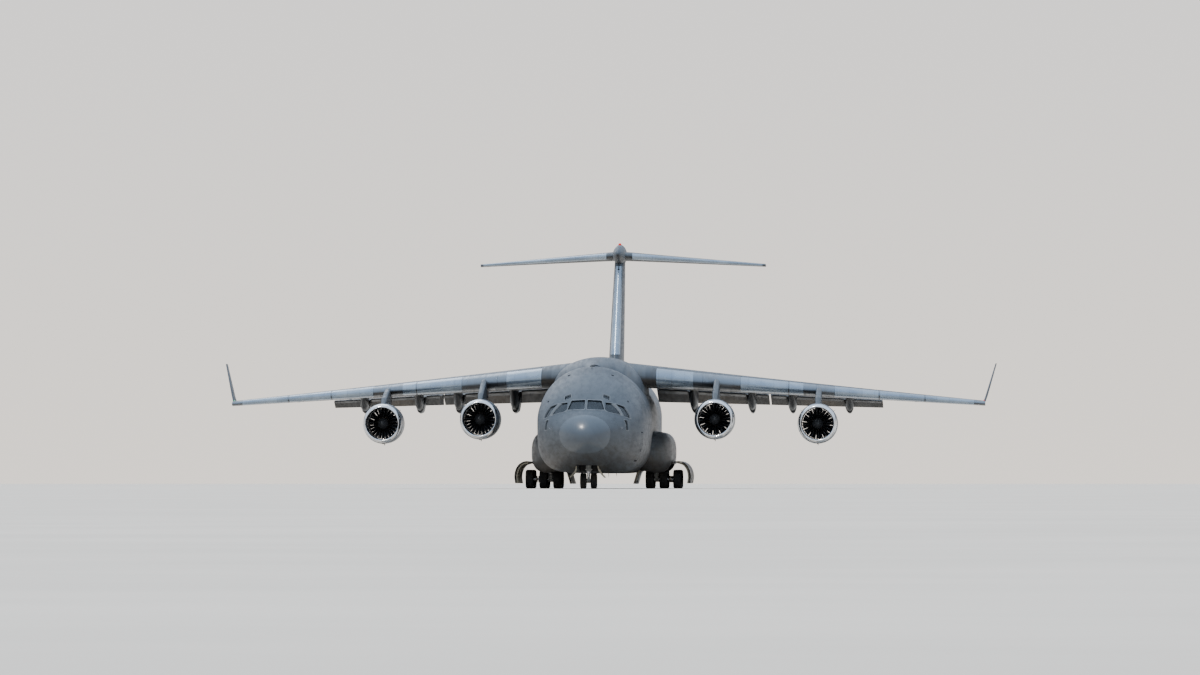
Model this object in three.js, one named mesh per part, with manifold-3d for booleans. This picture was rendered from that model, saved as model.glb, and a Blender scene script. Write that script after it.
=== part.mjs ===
// Heavy four-engined transport plane with a high wing and a T-tail, standing on its gear.
// Every length here is in metres on the full-size plane, and the group at the end is scaled
// down to a half-size model in millimetres. X points to port, Y runs aft along the stations,
// which are measured from the nose tip, and Z is the height above the ground.

import * as THREE from 'three';
import { mergeVertices } from 'three/addons/utils/BufferGeometryUtils.js';
import Module from 'manifold-3d';

const wasm = await Module();
wasm.setup();

// Whole plane
const LENGTH = 53.04;
const MODEL_SCALE = 1 / 2;
const MILLIMETRES_PER_METRE = 1000;
const SEAT_GAP = 0.001;
const RUNNING_GAP = 0.03;

// Fuselage
const WALL = 0.22;
const GLASS = 0.04;
const NOSE_END = 11.0;
const CENTER_END = 33.4;
const HOLLOW_START = 1.5;
const HOLLOW_END = 46.8;
const SECTION_SIDES = 24;
const FLOOR_TOP = 1.6;
const FLOOR_DEPTH = 0.14;
const FLOOR_START = 6.62;
const DECK_TOP = 3.75;
const DECK_START = 2.7;
const GLASS_SPAN = [1.9, 4.5];
const DECK_END = 6.55;

// Wing
const WING_CENTRE = { lead: 16.1, chord: 11.14, height: 7.45 };
const WING_LEAD_SLOPE = 0.548;
const WING_TRAIL_SLOPE = 0.2206;
const ANHEDRAL = Math.tan(THREE.MathUtils.degToRad(4.1));
const WING_TIP = 25.15;
const WING_ROOT_THICKNESS = 0.15;
const WING_TIP_THICKNESS = 0.11;
const FLAP_SPANS = { inboard: [3.62, 10.95], outboard: [11.05, 18.42] };
const FLAP_REST_DEGREES = 25;
const AILERON_SPAN = [18.6, 24.3];
const AILERON_HINGE = 0.77;
const FLAP_HINGE = { chord: 0.68, depth: 0.16 };
const FAIRING_SPANS = [5.95, 9.75, 12.4, 16.15];

// Tail
const FIN_HINGE = 0.72;
const STABILIZER_SPAN = 9.905;
const ELEVATOR_HINGE = 0.7;

// Engines: side offset, station of the inlet lip, height of the axis
const ENGINES = {
  inboard: { side: 7.62, lip: 15.2, height: 4.5 },
  outboard: { side: 14.22, lip: 18.9, height: 4.25 },
};

// Landing gear
const MAIN_AXLES = { front: 24.45, rear: 27.35 };
const MAIN_WHEELS = [3.05, 3.96, 4.87];
const MAIN_POST = 3.505;
const MAIN_TYRE = { radius: 0.635, width: 0.533, rim: 0.3 };
const NOSE_AXLE = 5.86;
const NOSE_WHEELS = [-0.335, 0.335];
const NOSE_TYRE = { radius: 0.508, width: 0.406, rim: 0.22 };
const TYRE_SIDES = 16;

// Colours: base colour, roughness, metalness
const FINISHES = {
  paint: ['#6f7a84', 0.55, 0.1],
  belly: ['#6a6863', 0.6, 0.1],
  bare_lip: ['#c9ccd0', 0.25, 0.9],
  hot_metal: ['#4a4541', 0.45, 0.8],
  fan: ['#3a3d42', 0.4, 0.8],
  tyre: ['#1c1c1d', 0.9, 0],
  gear: ['#b9bab5', 0.5, 0.3],
  door_lining: ['#c9c3ab', 0.6, 0],
  cabin: ['#8d9194', 0.7, 0],
  glass: ['#20262c', 0.1, 0],
};

// Boolean tools

function solidOf(geometry) {
  const bare = geometry.clone();
  bare.deleteAttribute('normal');
  bare.deleteAttribute('uv');
  const merged = mergeVertices(bare, 1e-5);
  return new wasm.Manifold(new wasm.Mesh({
    numProp: 3,
    vertProperties: new Float32Array(merged.attributes.position.array),
    triVerts: new Uint32Array(merged.index.array),
  }));
}

function geometryOf(solid) {
  const mesh = solid.getMesh();
  const geometry = new THREE.BufferGeometry();
  geometry.setAttribute('position', new THREE.BufferAttribute(mesh.vertProperties, 3));
  geometry.setIndex(new THREE.BufferAttribute(mesh.triVerts, 1));
  geometry.computeVertexNormals();
  return geometry;
}

const join = (...solids) => solids.reduce((sum, next) => sum.add(next));
const cut = (solid, ...tools) => tools.reduce((rest, tool) => rest.subtract(tool), solid);
const moved = (geometry, x, y, z) => geometry.translate(x, y, z);

// Basic shapes

// A closed skin over rings that all have the same number of points.
function loft(rings) {
  const sides = rings[0].length;
  const positions = rings.flat().flatMap((point) => [point.x, point.y, point.z]);
  const index = [];
  for (let ring = 0; ring < rings.length - 1; ring += 1) {
    for (let side = 0; side < sides; side += 1) {
      const next = (side + 1) % sides;
      const [a, b] = [ring * sides + side, ring * sides + next];
      index.push(a, b, b + sides, a, b + sides, a + sides);
    }
  }
  const last = (rings.length - 1) * sides;
  for (const [first, flipped] of [[0, true], [last, false]]) {
    for (const [a, b, c] of capOf(rings[first / sides])) {
      index.push(first + a, first + (flipped ? c : b), first + (flipped ? b : c));
    }
  }
  const geometry = new THREE.BufferGeometry();
  geometry.setAttribute('position', new THREE.Float32BufferAttribute(positions, 3));
  geometry.setIndex(index);
  const solid = solidOf(geometry);
  return solid.volume() < 0 ? solidOf(flip(geometry)) : solid;
}

function flip(geometry) {
  const index = Array.from(geometry.index.array);
  for (let i = 0; i < index.length; i += 3) {
    [index[i + 1], index[i + 2]] = [index[i + 2], index[i + 1]];
  }
  geometry.setIndex(index);
  return geometry;
}

// Triangles that close a flat ring, wound the same way as the ring.
function capOf(ring) {
  const normal = new THREE.Vector3();
  ring.forEach((point, i) => {
    normal.add(new THREE.Vector3().crossVectors(point, ring[(i + 1) % ring.length]));
  });
  const size = { x: Math.abs(normal.x), y: Math.abs(normal.y), z: Math.abs(normal.z) };
  const dropped = Object.keys(size).reduce((a, b) => (size[a] > size[b] ? a : b));
  const [u, v] = { x: ['y', 'z'], y: ['z', 'x'], z: ['x', 'y'] }[dropped];
  const flat = ring.map((point) => new THREE.Vector2(point[u], point[v]));
  const turned = THREE.ShapeUtils.isClockWise(flat);
  const order = flat.map((_, i) => i);
  if (turned) order.reverse();
  const triangles = THREE.ShapeUtils.triangulateShape(order.map((i) => flat[i]), []);
  return triangles.map(([a, b, c]) => {
    const face = [order[a], order[b], order[c]];
    return turned ? face.reverse() : face;
  });
}

// A block between two corners.
function block(low, high) {
  const size = high.map((value, i) => value - low[i]);
  const middle = high.map((value, i) => (value + low[i]) / 2);
  return solidOf(moved(new THREE.BoxGeometry(...size), ...middle));
}

// A side view outline of (station, height) points, as wide as from x0 to x1.
function sidePrism(outline, x0, x1) {
  return loft([x0, x1].map((x) => outline.map(([y, z]) => new THREE.Vector3(x, y, z))));
}

// An outline with every edge moved outwards; its points run anticlockwise.
function grownOutline(outline, grow) {
  const count = outline.length;
  const normal = ([xa, ya], [xb, yb]) => {
    const run = Math.hypot(xb - xa, yb - ya);
    return [(yb - ya) / run, (xa - xb) / run];
  };
  return outline.map(([x, y], i) => {
    const before = normal(outline[(i + count - 1) % count], outline[i]);
    const after = normal(outline[i], outline[(i + 1) % count]);
    const scale = grow / (1 + before[0] * after[0] + before[1] * after[1]);
    return [x + scale * (before[0] + after[0]), y + scale * (before[1] + after[1])];
  });
}

// A front view outline of (side, height) points, as long as from y0 to y1.
function frontPrism(outline, y0, y1) {
  return loft([y0, y1].map((y) => outline.map(([x, z]) => new THREE.Vector3(x, y, z))));
}

// A round bar between two points.
function rod(from, to, radius, sides = 8) {
  const start = new THREE.Vector3(...from);
  const run = new THREE.Vector3(...to).sub(start);
  const bar = new THREE.CylinderGeometry(radius, radius, run.length(), sides);
  bar.translate(0, run.length() / 2, 0);
  bar.applyQuaternion(new THREE.Quaternion().setFromUnitVectors(
    new THREE.Vector3(0, 1, 0), run.normalize()));
  return solidOf(bar.translate(...from));
}

// A turned body whose profile is (radius, distance along +Y) from the axis back to the axis.
function turned(profile, sides) {
  const points = profile.map(([radius, along]) => new THREE.Vector2(radius, along));
  return loftedLathe(new THREE.LatheGeometry(points, sides));
}

function loftedLathe(lathe) {
  const solid = solidOf(lathe);
  return solid.volume() < 0 ? solidOf(flip(mergeVertices(withoutShading(lathe), 1e-5))) : solid;
}

function withoutShading(geometry) {
  geometry.deleteAttribute('normal');
  geometry.deleteAttribute('uv');
  return geometry;
}

// A hole with flat sides that leaves room for a round bar turning in it.
const BORE_SIDES = 12;
const boreRadius = (bar, sides = BORE_SIDES) => (bar + SEAT_GAP) / Math.cos(Math.PI / sides);

// The blind hole for a pin, a little deeper than the pin at both ends.
function bore(from, to, bar) {
  const start = new THREE.Vector3(...from);
  const end = new THREE.Vector3(...to);
  const slack = end.clone().sub(start).setLength(RUNNING_GAP);
  return rod(start.sub(slack).toArray(), end.add(slack).toArray(), boreRadius(bar), BORE_SIDES);
}

// The mirror image on the other side of the plane of symmetry.
const mirrored = (solid) => solid.mirror([1, 0, 0]);
const onSide = (solid, side) => (side === 'left' ? solid : mirrored(solid));

// Fuselage

// station, half_width, top, bottom, widest_height, belly_power
const FUSELAGE_SECTIONS = [
  [0.00, 0.12, 3.40, 3.16, 3.28, 2.0],
  [0.14, 0.54, 3.76, 2.86, 3.32, 2.0],
  [0.50, 1.00, 4.18, 2.62, 3.40, 2.1],
  [1.10, 1.50, 4.58, 2.30, 3.50, 2.3],
  [2.10, 2.08, 4.97, 1.94, 3.60, 2.5],
  [3.30, 2.60, 5.64, 1.58, 3.75, 2.8],
  [4.60, 2.98, 6.30, 1.32, 3.95, 3.1],
  [6.20, 3.25, 6.88, 1.14, 4.15, 3.5],
  [8.20, 3.40, 7.42, 1.04, 4.35, 3.9],
  [11.0, 3.43, 7.86, 1.00, 4.50, 4.2],
  [33.4, 3.43, 7.92, 1.00, 4.50, 4.2],
  [36.0, 3.36, 7.92, 1.76, 4.75, 4.0],
  [39.4, 3.02, 7.90, 2.96, 5.30, 3.8],
  [42.5, 2.45, 7.85, 4.08, 5.95, 3.4],
  [45.5, 1.72, 7.75, 5.20, 6.50, 3.0],
  [47.5, 1.05, 7.62, 5.98, 6.85, 2.6],
  [48.5, 0.42, 7.36, 6.50, 6.95, 2.2],
];
const ROUND_POWER = 2;

function sectionAt(station) {
  const after = FUSELAGE_SECTIONS.findIndex((row) => row[0] > station);
  const last = FUSELAGE_SECTIONS.length - 1;
  const high = after < 0 ? last : Math.max(after, 1);
  const [a, b] = [FUSELAGE_SECTIONS[high - 1], FUSELAGE_SECTIONS[high]];
  const part = (station - a[0]) / (b[0] - a[0]);
  return a.map((value, i) => value + part * (b[i] - value));
}

// One ring of the fuselage, moved inwards by the inset.
function fuselageRing(station, inset = 0) {
  const [, width, top, bottom, middle, power] = sectionAt(station);
  const ring = [];
  for (let side = 0; side < SECTION_SIDES; side += 1) {
    const angle = (2 * Math.PI * side) / SECTION_SIDES;
    const [c, s] = [Math.cos(angle), Math.sin(angle)];
    const shape = s < 0 ? power : ROUND_POWER;
    const reach = s < 0 ? middle - bottom - inset : top - middle - inset;
    ring.push(new THREE.Vector3(
      (width - inset) * Math.sign(c) * Math.abs(c) ** (2 / shape),
      station,
      middle + reach * Math.sign(s) * Math.abs(s) ** (2 / shape),
    ));
  }
  return ring;
}

function fuselagePart(start, end, inset = 0) {
  const between = FUSELAGE_SECTIONS.map((row) => row[0]).filter((s) => s > start && s < end);
  return loft([start, ...between, end].map((station) => fuselageRing(station, inset)));
}

const fuselageClearance = fuselagePart(0, FUSELAGE_SECTIONS.at(-1)[0], -SEAT_GAP);

function shell(start, end, hollowStart, hollowEnd) {
  return cut(fuselagePart(start, end), fuselagePart(hollowStart, hollowEnd, WALL));
}

// Windows of the flight deck, as front and side view outlines of the port side
const WINDSCREEN = [[0.07, 5.02], [1.17, 4.98], [0.95, 5.58], [0.07, 5.62]];
const FRONT_SIDE_WINDOW = [[2.45, 4.86], [3.22, 4.62], [3.62, 5.42], [3.02, 5.50]];
const REAR_SIDE_WINDOW = [[3.34, 4.58], [4.12, 4.42], [4.22, 5.18], [3.74, 5.38]];
const EYEBROW_WINDOW = [[1.02, 3.75], [1.42, 3.75], [1.42, 4.25], [1.02, 4.25]];
const LOWER_WINDOW = [[3.05, 3.72], [3.46, 3.68], [3.50, 4.32], [3.12, 4.36]];

function windowCuts() {
  const eyebrow = EYEBROW_WINDOW.map(([x, y]) => [x, y]);
  const port = [
    frontPrism(WINDSCREEN, 1.4, 3.9),
    sidePrism(FRONT_SIDE_WINDOW, 1.2, 3.2),
    sidePrism(REAR_SIDE_WINDOW, 1.5, 3.4),
    loft([5.2, 6.6].map((z) => eyebrow.map(([x, y]) => new THREE.Vector3(x, y, z)))),
    sidePrism(LOWER_WINDOW, 1.7, 3.4),
  ];
  return [...port, ...port.map(mirrored)];
}

// Crew door on the port side, hinged along its bottom edge
const CREW_DOOR = { start: 6.72, end: 7.62, bottom: 1.74, top: 3.62 };
const CREW_DOOR_GAPS = { side: 0.035, bottom: 0.1, top: 0.06 };
// The hinge line follows the skin, so it runs outwards towards the rear.
const CREW_HINGE = { front_side: 2.89, rear_side: 2.95, height: 1.9, pin: 0.025 };

function crewDoorBlock({ side, bottom, top }) {
  return block(
    [2.0, CREW_DOOR.start + side, CREW_DOOR.bottom + bottom],
    [3.8, CREW_DOOR.end - side, CREW_DOOR.top - top]);
}

// Pins that stand out of the door frame into the door's bottom corners.
function crewDoorPins(bar) {
  const front = new THREE.Vector3(CREW_HINGE.front_side, CREW_DOOR.start, CREW_HINGE.height);
  const rear = new THREE.Vector3(CREW_HINGE.rear_side, CREW_DOOR.end, CREW_HINGE.height);
  const along = rear.clone().sub(front).normalize();
  return [[front, -1], [rear, 1]].map(([place, out]) => (
    bar(place.clone().addScaledVector(along, out * 0.1).toArray(),
      place.clone().addScaledVector(along, -out * 0.16).toArray(), CREW_HINGE.pin)));
}

// Flat pads that the plane is jacked up by: side, station, height of the face
const JACK_PAD_HALF = 0.16;
const NOSE_PAD = [0, 8.6, 0.96];
const POD_PAD = [3.5, 30.1, 0.97];

function jackPad([x, y, z]) {
  return block([x - JACK_PAD_HALF, y - JACK_PAD_HALF, z], [x + JACK_PAD_HALF, y + JACK_PAD_HALF, z + 0.2]);
}

// Nose gear bay
const NOSE_BAY = { start: 3.7, end: 6.5, half: 0.62, top: 2.5, wall: 0.06 };

function noseBay() {
  const { start, end, half, top, wall } = NOSE_BAY;
  const outer = block([-half - wall, start - wall, 0.9], [half + wall, end + wall, top + wall]);
  return {
    walls: outer.intersect(fuselagePart(HOLLOW_START, NOSE_END, WALL / 2)),
    space: block([-half, start, 0.5], [half, end, top]),
  };
}

function noseSection() {
  const bay = noseBay();
  const skin = shell(0, NOSE_END - SEAT_GAP, HOLLOW_START, NOSE_END + 1);
  const frame = cut(join(skin, bay.walls), bay.space, crewDoorBlock({ side: 0, bottom: 0, top: 0 }),
    ...windowCuts());
  return join(frame, ...crewDoorPins(rod), jackPad(NOSE_PAD));
}

function crewDoor() {
  const skin = shell(0, NOSE_END, HOLLOW_START, NOSE_END + 1);
  return cut(skin.intersect(crewDoorBlock(CREW_DOOR_GAPS)), ...crewDoorPins(bore));
}

// The room inside the walls of the nose and the hold.
const room = (inset) => fuselagePart(HOLLOW_START, CENTER_END + 1, inset);

function flightDeckGlass() {
  const skin = cut(room(WALL + SEAT_GAP), room(WALL + GLASS));
  return skin.intersect(block([-3.4, GLASS_SPAN[0], 3.55], [3.4, GLASS_SPAN[1], 6.6]));
}

function flightDeck() {
  const besideGlass = room(WALL + GLASS + SEAT_GAP);
  const behindGlass = room(WALL + SEAT_GAP)
    .intersect(block([-4, GLASS_SPAN[1] + SEAT_GAP, 0], [4, DECK_END + 1, 9]));
  const inside = join(besideGlass, behindGlass);
  const deck = block([-3.3, DECK_START, DECK_TOP - 0.1], [3.3, DECK_END, DECK_TOP]);
  const bulkhead = cut(
    block([-3.3, DECK_END - 0.08, DECK_TOP - 0.1], [3.3, DECK_END, 7.2]),
    block([0.35, DECK_END - 0.2, DECK_TOP], [1.15, DECK_END + 0.1, 5.75]));
  const panel = sidePrism([[2.75, DECK_TOP - 0.05], [3.0, DECK_TOP - 0.05], [3.12, 4.62],
    [2.75, 4.7]], -1.5, 1.5);
  const seat = (x) => join(
    block([x - 0.27, 3.85, DECK_TOP - 0.02], [x + 0.27, 4.35, 4.2]),
    sidePrism([[4.3, 4.1], [4.45, 4.1], [4.62, 4.98], [4.48, 5.0]], x - 0.26, x + 0.26));
  return join(join(deck, bulkhead, panel).intersect(inside), seat(0.75), seat(-0.75));
}

function cargoFloor() {
  const slab = block([-3.3, FLOOR_START, FLOOR_TOP - FLOOR_DEPTH], [3.3, CENTER_END - 0.06, FLOOR_TOP]);
  return slab.intersect(room(WALL + SEAT_GAP));
}

// Ramp and cargo door in the upswept belly. Their joint leans forward so both swing clear.
const RAMP_HALF = 2.45;
const RAMP_START = 33.6;
const DOOR_END = 45.4;
const SEAM = { station: 39.4, height: 2.96, lean: 0.45 };
const HINGE_EDGE_GAP = { ramp: 0.06, door: 0.1 };
const CARGO_DOOR_SIDES = [[39.0, 2.32], [DOOR_END + 1, 1.02]];
const RAMP_HINGE = { station: RAMP_START + 0.12, height: 1.14, lugs: 1.3, pin: 0.03 };
const DOOR_HINGE = { station: DOOR_END - 0.15, height: 5.24, lugs: 0.5, pin: 0.03 };
const LUG_NOTCH = 0.07;

// The part of the belly taken up by the ramp, less a gap all round.
function rampBlock(gap, hingeGap) {
  const rise = 2.2;
  const rear = SEAM.station - gap;
  return sidePrism([
    [RAMP_START + hingeGap, 0.4], [RAMP_START + hingeGap, 2.4],
    [rear - rise * SEAM.lean, SEAM.height + rise], [rear + 2 * SEAM.lean, SEAM.height - 2],
  ], -RAMP_HALF + gap, RAMP_HALF - gap);
}

function cargoDoorBlock(gap, hingeGap) {
  const front = SEAM.station + gap;
  const rise = 2.2;
  const rear = DOOR_END - hingeGap;
  const outline = [
    [front - rise * SEAM.lean, SEAM.height + rise], [front + 2 * SEAM.lean, SEAM.height - 2],
    [rear + 0.6, 3.2], [rear - 0.25, 6.2],
  ];
  const [[y0, x0], [y1, x1]] = CARGO_DOOR_SIDES;
  const widthAt = (y) => x0 + ((x1 - x0) * (y - y0)) / (y1 - y0) - gap;
  return loft([-1, 1].map((side) => outline.map(([y, z]) => (
    new THREE.Vector3(side * widthAt(y), y, z)))));
}

// Two lugs on the frame in front of (aft = 1) or behind (aft = -1) a door, each with a cross pin.
function hingeLugs({ station, height, lugs, pin }, aft, bar, grow) {
  const [half, low, high] = [0.07 + grow, 0.05 + grow, 0.05 + grow];
  const ends = [station - aft * 0.26, station + aft * (0.05 + grow)].sort((p, q) => p - q);
  return [-lugs, lugs].flatMap((x) => [
    block([x - half, ends[0], height - low], [x + half, ends[1], height + high]),
    bar([x - 0.22, station, height], [x + 0.22, station, height], pin),
  ]);
}

function aftShell() {
  return shell(CENTER_END + SEAT_GAP, FUSELAGE_SECTIONS.at(-1)[0], CENTER_END - 1, HOLLOW_END);
}

const aftFuselage = () => join(
  cut(aftShell(), rampBlock(0, 0), cargoDoorBlock(-SEAT_GAP, 0)),
  ...hingeLugs(RAMP_HINGE, 1, rod, 0), ...hingeLugs(DOOR_HINGE, -1, rod, 0));
const cargoRamp = () => cut(
  aftShell().intersect(rampBlock(RUNNING_GAP, HINGE_EDGE_GAP.ramp)),
  ...hingeLugs(RAMP_HINGE, 1, bore, LUG_NOTCH));
const cargoDoor = () => cut(
  aftShell().intersect(cargoDoorBlock(RUNNING_GAP, HINGE_EDGE_GAP.door)),
  ...hingeLugs(DOOR_HINGE, -1, bore, LUG_NOTCH));

// Hump that fairs the wing's centre over the crown: station, half_width, top
const FAIRING_SECTIONS = [
  [13.4, 0.9, 8.00], [15.0, 2.2, 8.22], [17.4, 2.95, 8.52], [21.5, 3.1, 8.62],
  [25.5, 2.95, 8.46], [29.5, 2.2, 8.18], [32.2, 0.9, 7.99],
];
const FAIRING_SIDES = 9;
const FAIRING_FOOT = 6.1;

function fairingPart(grow = 0) {
  return loft(FAIRING_SECTIONS.map(([station, width, top]) => {
    const ring = [];
    for (let step = 0; step <= FAIRING_SIDES; step += 1) {
      const angle = (Math.PI * step) / FAIRING_SIDES;
      ring.push(new THREE.Vector3(
        (width + grow) * Math.cos(angle),
        station,
        FAIRING_FOOT + (top + grow - FAIRING_FOOT) * Math.sin(angle) ** 0.8));
    }
    return ring;
  }));
}

const wingFairing = () => cut(fairingPart(), fuselageClearance);

// Wing

// Chord fractions of the points on one face of an airfoil, from the trailing edge forwards
const CHORD_STEPS = [1, 0.86, 0.7, 0.5, 0.3, 0.14, 0.045, 0.008];
const TRAILING_EDGE = 0.0025;
const CAMBER = 0.012;

function halfThickness(part, thickness) {
  const root = 0.2969 * Math.sqrt(part) - 0.126 * part;
  return 5 * thickness * (root - 0.3516 * part ** 2 + 0.2843 * part ** 3 - 0.1036 * part ** 4)
    + TRAILING_EDGE;
}

// Points (along the chord, across it) of an airfoil: over the top forwards, and back below.
function airfoil(chord, thickness, camber = CAMBER, grow = 0) {
  const line = (part) => 4 * camber * part * (1 - part);
  const face = (side) => CHORD_STEPS.map((part) => [
    part * (chord + 2 * grow) - grow,
    (line(part) + side * halfThickness(part, thickness)) * chord + side * grow,
  ]);
  return [...face(1), ...face(-1).reverse()];
}

function wingAt(x) {
  const lead = WING_CENTRE.lead + WING_LEAD_SLOPE * x;
  const trail = WING_CENTRE.lead + WING_CENTRE.chord + WING_TRAIL_SLOPE * x;
  const part = x / WING_TIP;
  return {
    lead,
    chord: trail - lead,
    height: WING_CENTRE.height - ANHEDRAL * x,
    thickness: WING_ROOT_THICKNESS + part * (WING_TIP_THICKNESS - WING_ROOT_THICKNESS),
  };
}

function wingRing(x, grow) {
  const { lead, chord, height, thickness } = wingAt(x);
  return airfoil(chord, thickness, CAMBER, grow).map(([along, up]) => (
    new THREE.Vector3(x, lead + along, height + up)));
}

// A ring given in chord fractions of the wing at x, shifted aft by a fixed distance.
function chordRing(x, outline, shift = 0) {
  const { lead, chord, height } = wingAt(x);
  return outline.map(([part, up]) => (
    new THREE.Vector3(x, lead + part * chord + shift, height + up * chord)));
}

// The slanted cut under which a flap nests, as chord fractions
const COVE = [[0.625, -0.1], [0.895, 0.08], [1.1, 0.08], [1.1, -0.1]];

function cove(x0, x1, shift) {
  return loft([x0, x1].map((x) => chordRing(x, COVE, shift)));
}

const plainWing = (grow = 0) => loft([1.2, 9, WING_TIP].map((x) => wingRing(x, grow)));

// Winglet: side, lead station, chord, height, thickness
const WINGLET_SECTIONS = [
  [25.00, 30.15, 2.55, 5.62, 0.06],
  [25.22, 30.95, 2.05, 6.15, 0.07],
  [25.87, 33.20, 1.10, 8.37, 0.08],
];

function winglet() {
  return loft(WINGLET_SECTIONS.map(([x, lead, chord, z, thickness]) => (
    airfoil(chord, thickness, 0).map(([along, across]) => (
      new THREE.Vector3(x + across, lead + along, z))))));
}

// Canoe fairings over the flap hinges. The nose is fixed to the wing, the tail droops with the flap.
// chord_part, half_width, top, bottom, with heights as chord parts
const FAIRING_NOSE = [[0.40, 0.05, -0.04, -0.062], [0.5, 0.20, -0.03, -0.125],
  [0.6, 0.27, -0.02, -0.182], [0.69, 0.28, -0.01, -0.196]];
const FAIRING_TAIL = [[0.705, 0.27, -0.02, -0.15], [0.75, 0.27, -0.01, -0.19],
  [0.86, 0.22, 0, -0.15], [0.98, 0.14, 0, -0.088], [1.09, 0.03, -0.012, -0.022]];
const FLAP_PIN = { radius: 0.04, half: 0.22, eye: 0.13, slot: 0.22, slotShare: 0.03, eyeHalf: 0.07,
  slotHalf: 0.14 };

function canoe(x, sections) {
  const { lead, chord, height } = wingAt(x);
  return loft(sections.map(([part, half, top, bottom]) => {
    const [y, high, low] = [lead + part * chord, height + top * chord, height + bottom * chord];
    const knee = low + (high - low) * 0.3;
    return [[half, high], [-half, high], [-half, knee], [-half * 0.55, low], [half * 0.55, low],
      [half, knee]].map(([across, z]) => new THREE.Vector3(x + across, y, z));
  }));
}

function wing() {
  const aileronCut = loft([AILERON_SPAN[0] - RUNNING_GAP, AILERON_SPAN[1] + RUNNING_GAP]
    .map((x) => chordRing(x, [[AILERON_HINGE, -0.1], [AILERON_HINGE, 0.1], [1.1, 0.1], [1.1, -0.1]],
      -surfaceNose(wingAt(x), AILERON_HINGE) - RUNNING_GAP)));
  const body = cut(join(plainWing(), winglet()),
    cove(3.0, FLAP_SPANS.outboard[1] + RUNNING_GAP, 0), aileronCut);
  const noses = FAIRING_SPANS.map((x) => join(
    cut(canoe(x, FAIRING_NOSE), hingeBar(x, FLAP_PIN.slotHalf,
      Math.max(FLAP_PIN.slot, FLAP_PIN.slotShare * wingAt(x).chord), AXLE_SIDES)),
    hingeBar(x, FLAP_PIN.half, FLAP_PIN.radius, AXLE_SIDES)));
  const pins = AILERON_SPAN.map((x, i) => surfacePin(rod, aileronHinge, x, i ? 1 : -1));
  return join(body, ...noses, ...pins);
}

// A bar along the flap hinge line, centred on one fairing.
function hingeBar(x, half, radius, sides) {
  const along = flapHinge(WING_TIP).sub(flapHinge(0)).normalize();
  const middle = flapHinge(x);
  const end = (way) => middle.clone().addScaledVector(along, way * half).toArray();
  return rod(end(-1), end(1), radius, sides);
}

function flap([x0, x1]) {
  const panel = plainWing().intersect(cove(x0, x1, RUNNING_GAP));
  const tails = FAIRING_SPANS.filter((x) => x > x0 && x < x1).map((x) => (
    cut(canoe(x, FAIRING_TAIL), cut(block([x - 1, 0, 0], [x + 1, 60, 9]), cove(x0, x1, RUNNING_GAP),
      canoeSpace(x)))));
  const places = FAIRING_SPANS.filter((x) => x > x0 && x < x1);
  const eyes = places.flatMap((x) => {
    const { y, z } = flapHinge(x);
    const reach = 0.07 * wingAt(x).chord;
    const arm = block([x - FLAP_PIN.eyeHalf, y, z - 0.09], [x + FLAP_PIN.eyeHalf, y + reach, z + 0.09]);
    return [hingeBar(x, FLAP_PIN.eyeHalf, FLAP_PIN.eye, AXLE_SIDES), arm];
  });
  const holes = places.map((x) => hingeBar(x, 0.5, boreRadius(FLAP_PIN.radius), BORE_SIDES));
  return cut(join(panel, ...tails, ...eyes), ...holes);
}

// The space under the wing that a fairing's tail may fill when the flap is in.
function canoeSpace(x) {
  return loft([x - 0.5, x + 0.5].map((at) => chordRing(at,
    [[0.66, -0.25], [0.69, -0.056], [1.12, -0.005], [1.12, -0.25]])));
}

function flapHinge(x) {
  const { lead, chord, height } = wingAt(x);
  return new THREE.Vector3(
    x, lead + FLAP_HINGE.chord * chord, height - FLAP_HINGE.depth * chord);
}

// Ailerons, elevators and rudders

const surfaceNose = ({ chord, thickness }, hinge) => halfThickness(hinge, thickness) * chord;
const NOSE_ARC_STEPS = 3;

// Outline (along, across) of a hinged surface: a round nose about the hinge, and a trailing edge.
function surfaceOutline(radius, reach) {
  const edge = 0.02;
  const nose = [];
  for (let step = 0; step <= NOSE_ARC_STEPS; step += 1) {
    const angle = Math.PI * (0.5 + step / NOSE_ARC_STEPS);
    nose.push([radius * Math.cos(angle), radius * Math.sin(angle)]);
  }
  return [...nose, [reach, -edge], [reach, edge]];
}

// A pin on a surface's hinge line at one end, out of the fixed rib and into the surface.
const SURFACE_PIN = { radius: 0.022, out: 0.07, into: 0.12 };
const RUDDER_PIN_OUT = 0.16;

function surfacePin(bar, hingeAt, end, outward, out = SURFACE_PIN.out) {
  const [from, to] = [end + outward * out, end - outward * SURFACE_PIN.into];
  return bar(hingeAt(from).toArray(), hingeAt(to).toArray(), SURFACE_PIN.radius);
}

// place(along, across, section) turns an outline point into a point of the plane.
function surface(sections, place) {
  return loft(sections.map((section) => (
    surfaceOutline(section.radius, section.reach)
      .map(([along, across]) => place(along, across, section)))));
}

function aileron() {
  const sections = AILERON_SPAN.map((x) => {
    const at = wingAt(x);
    return {
      x,
      y: at.lead + AILERON_HINGE * at.chord,
      z: at.height,
      radius: surfaceNose(at, AILERON_HINGE),
      reach: (1 - AILERON_HINGE) * at.chord,
    };
  });
  const panel = surface(sections, (along, across, at) => (
    new THREE.Vector3(at.x, at.y + along, at.z + across)));
  return cut(panel, ...AILERON_SPAN.map((x, i) => surfacePin(bore, aileronHinge, x, i ? 1 : -1)));
}

function aileronHinge(x) {
  const { lead, chord, height } = wingAt(x);
  return new THREE.Vector3(x, lead + AILERON_HINGE * chord, height);
}

// Fin: height, lead station, chord, thickness
const FIN_FOOT = { height: 7.1, lead: 37.9, chord: 9.4, thickness: 0.105 };
const FIN_TOP = { height: 15.6, lead: 45.3, chord: 5.2, thickness: 0.13 };
const RUDDER_SPANS = { lower: [8.35, 11.9], upper: [11.96, 15.1] };
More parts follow.
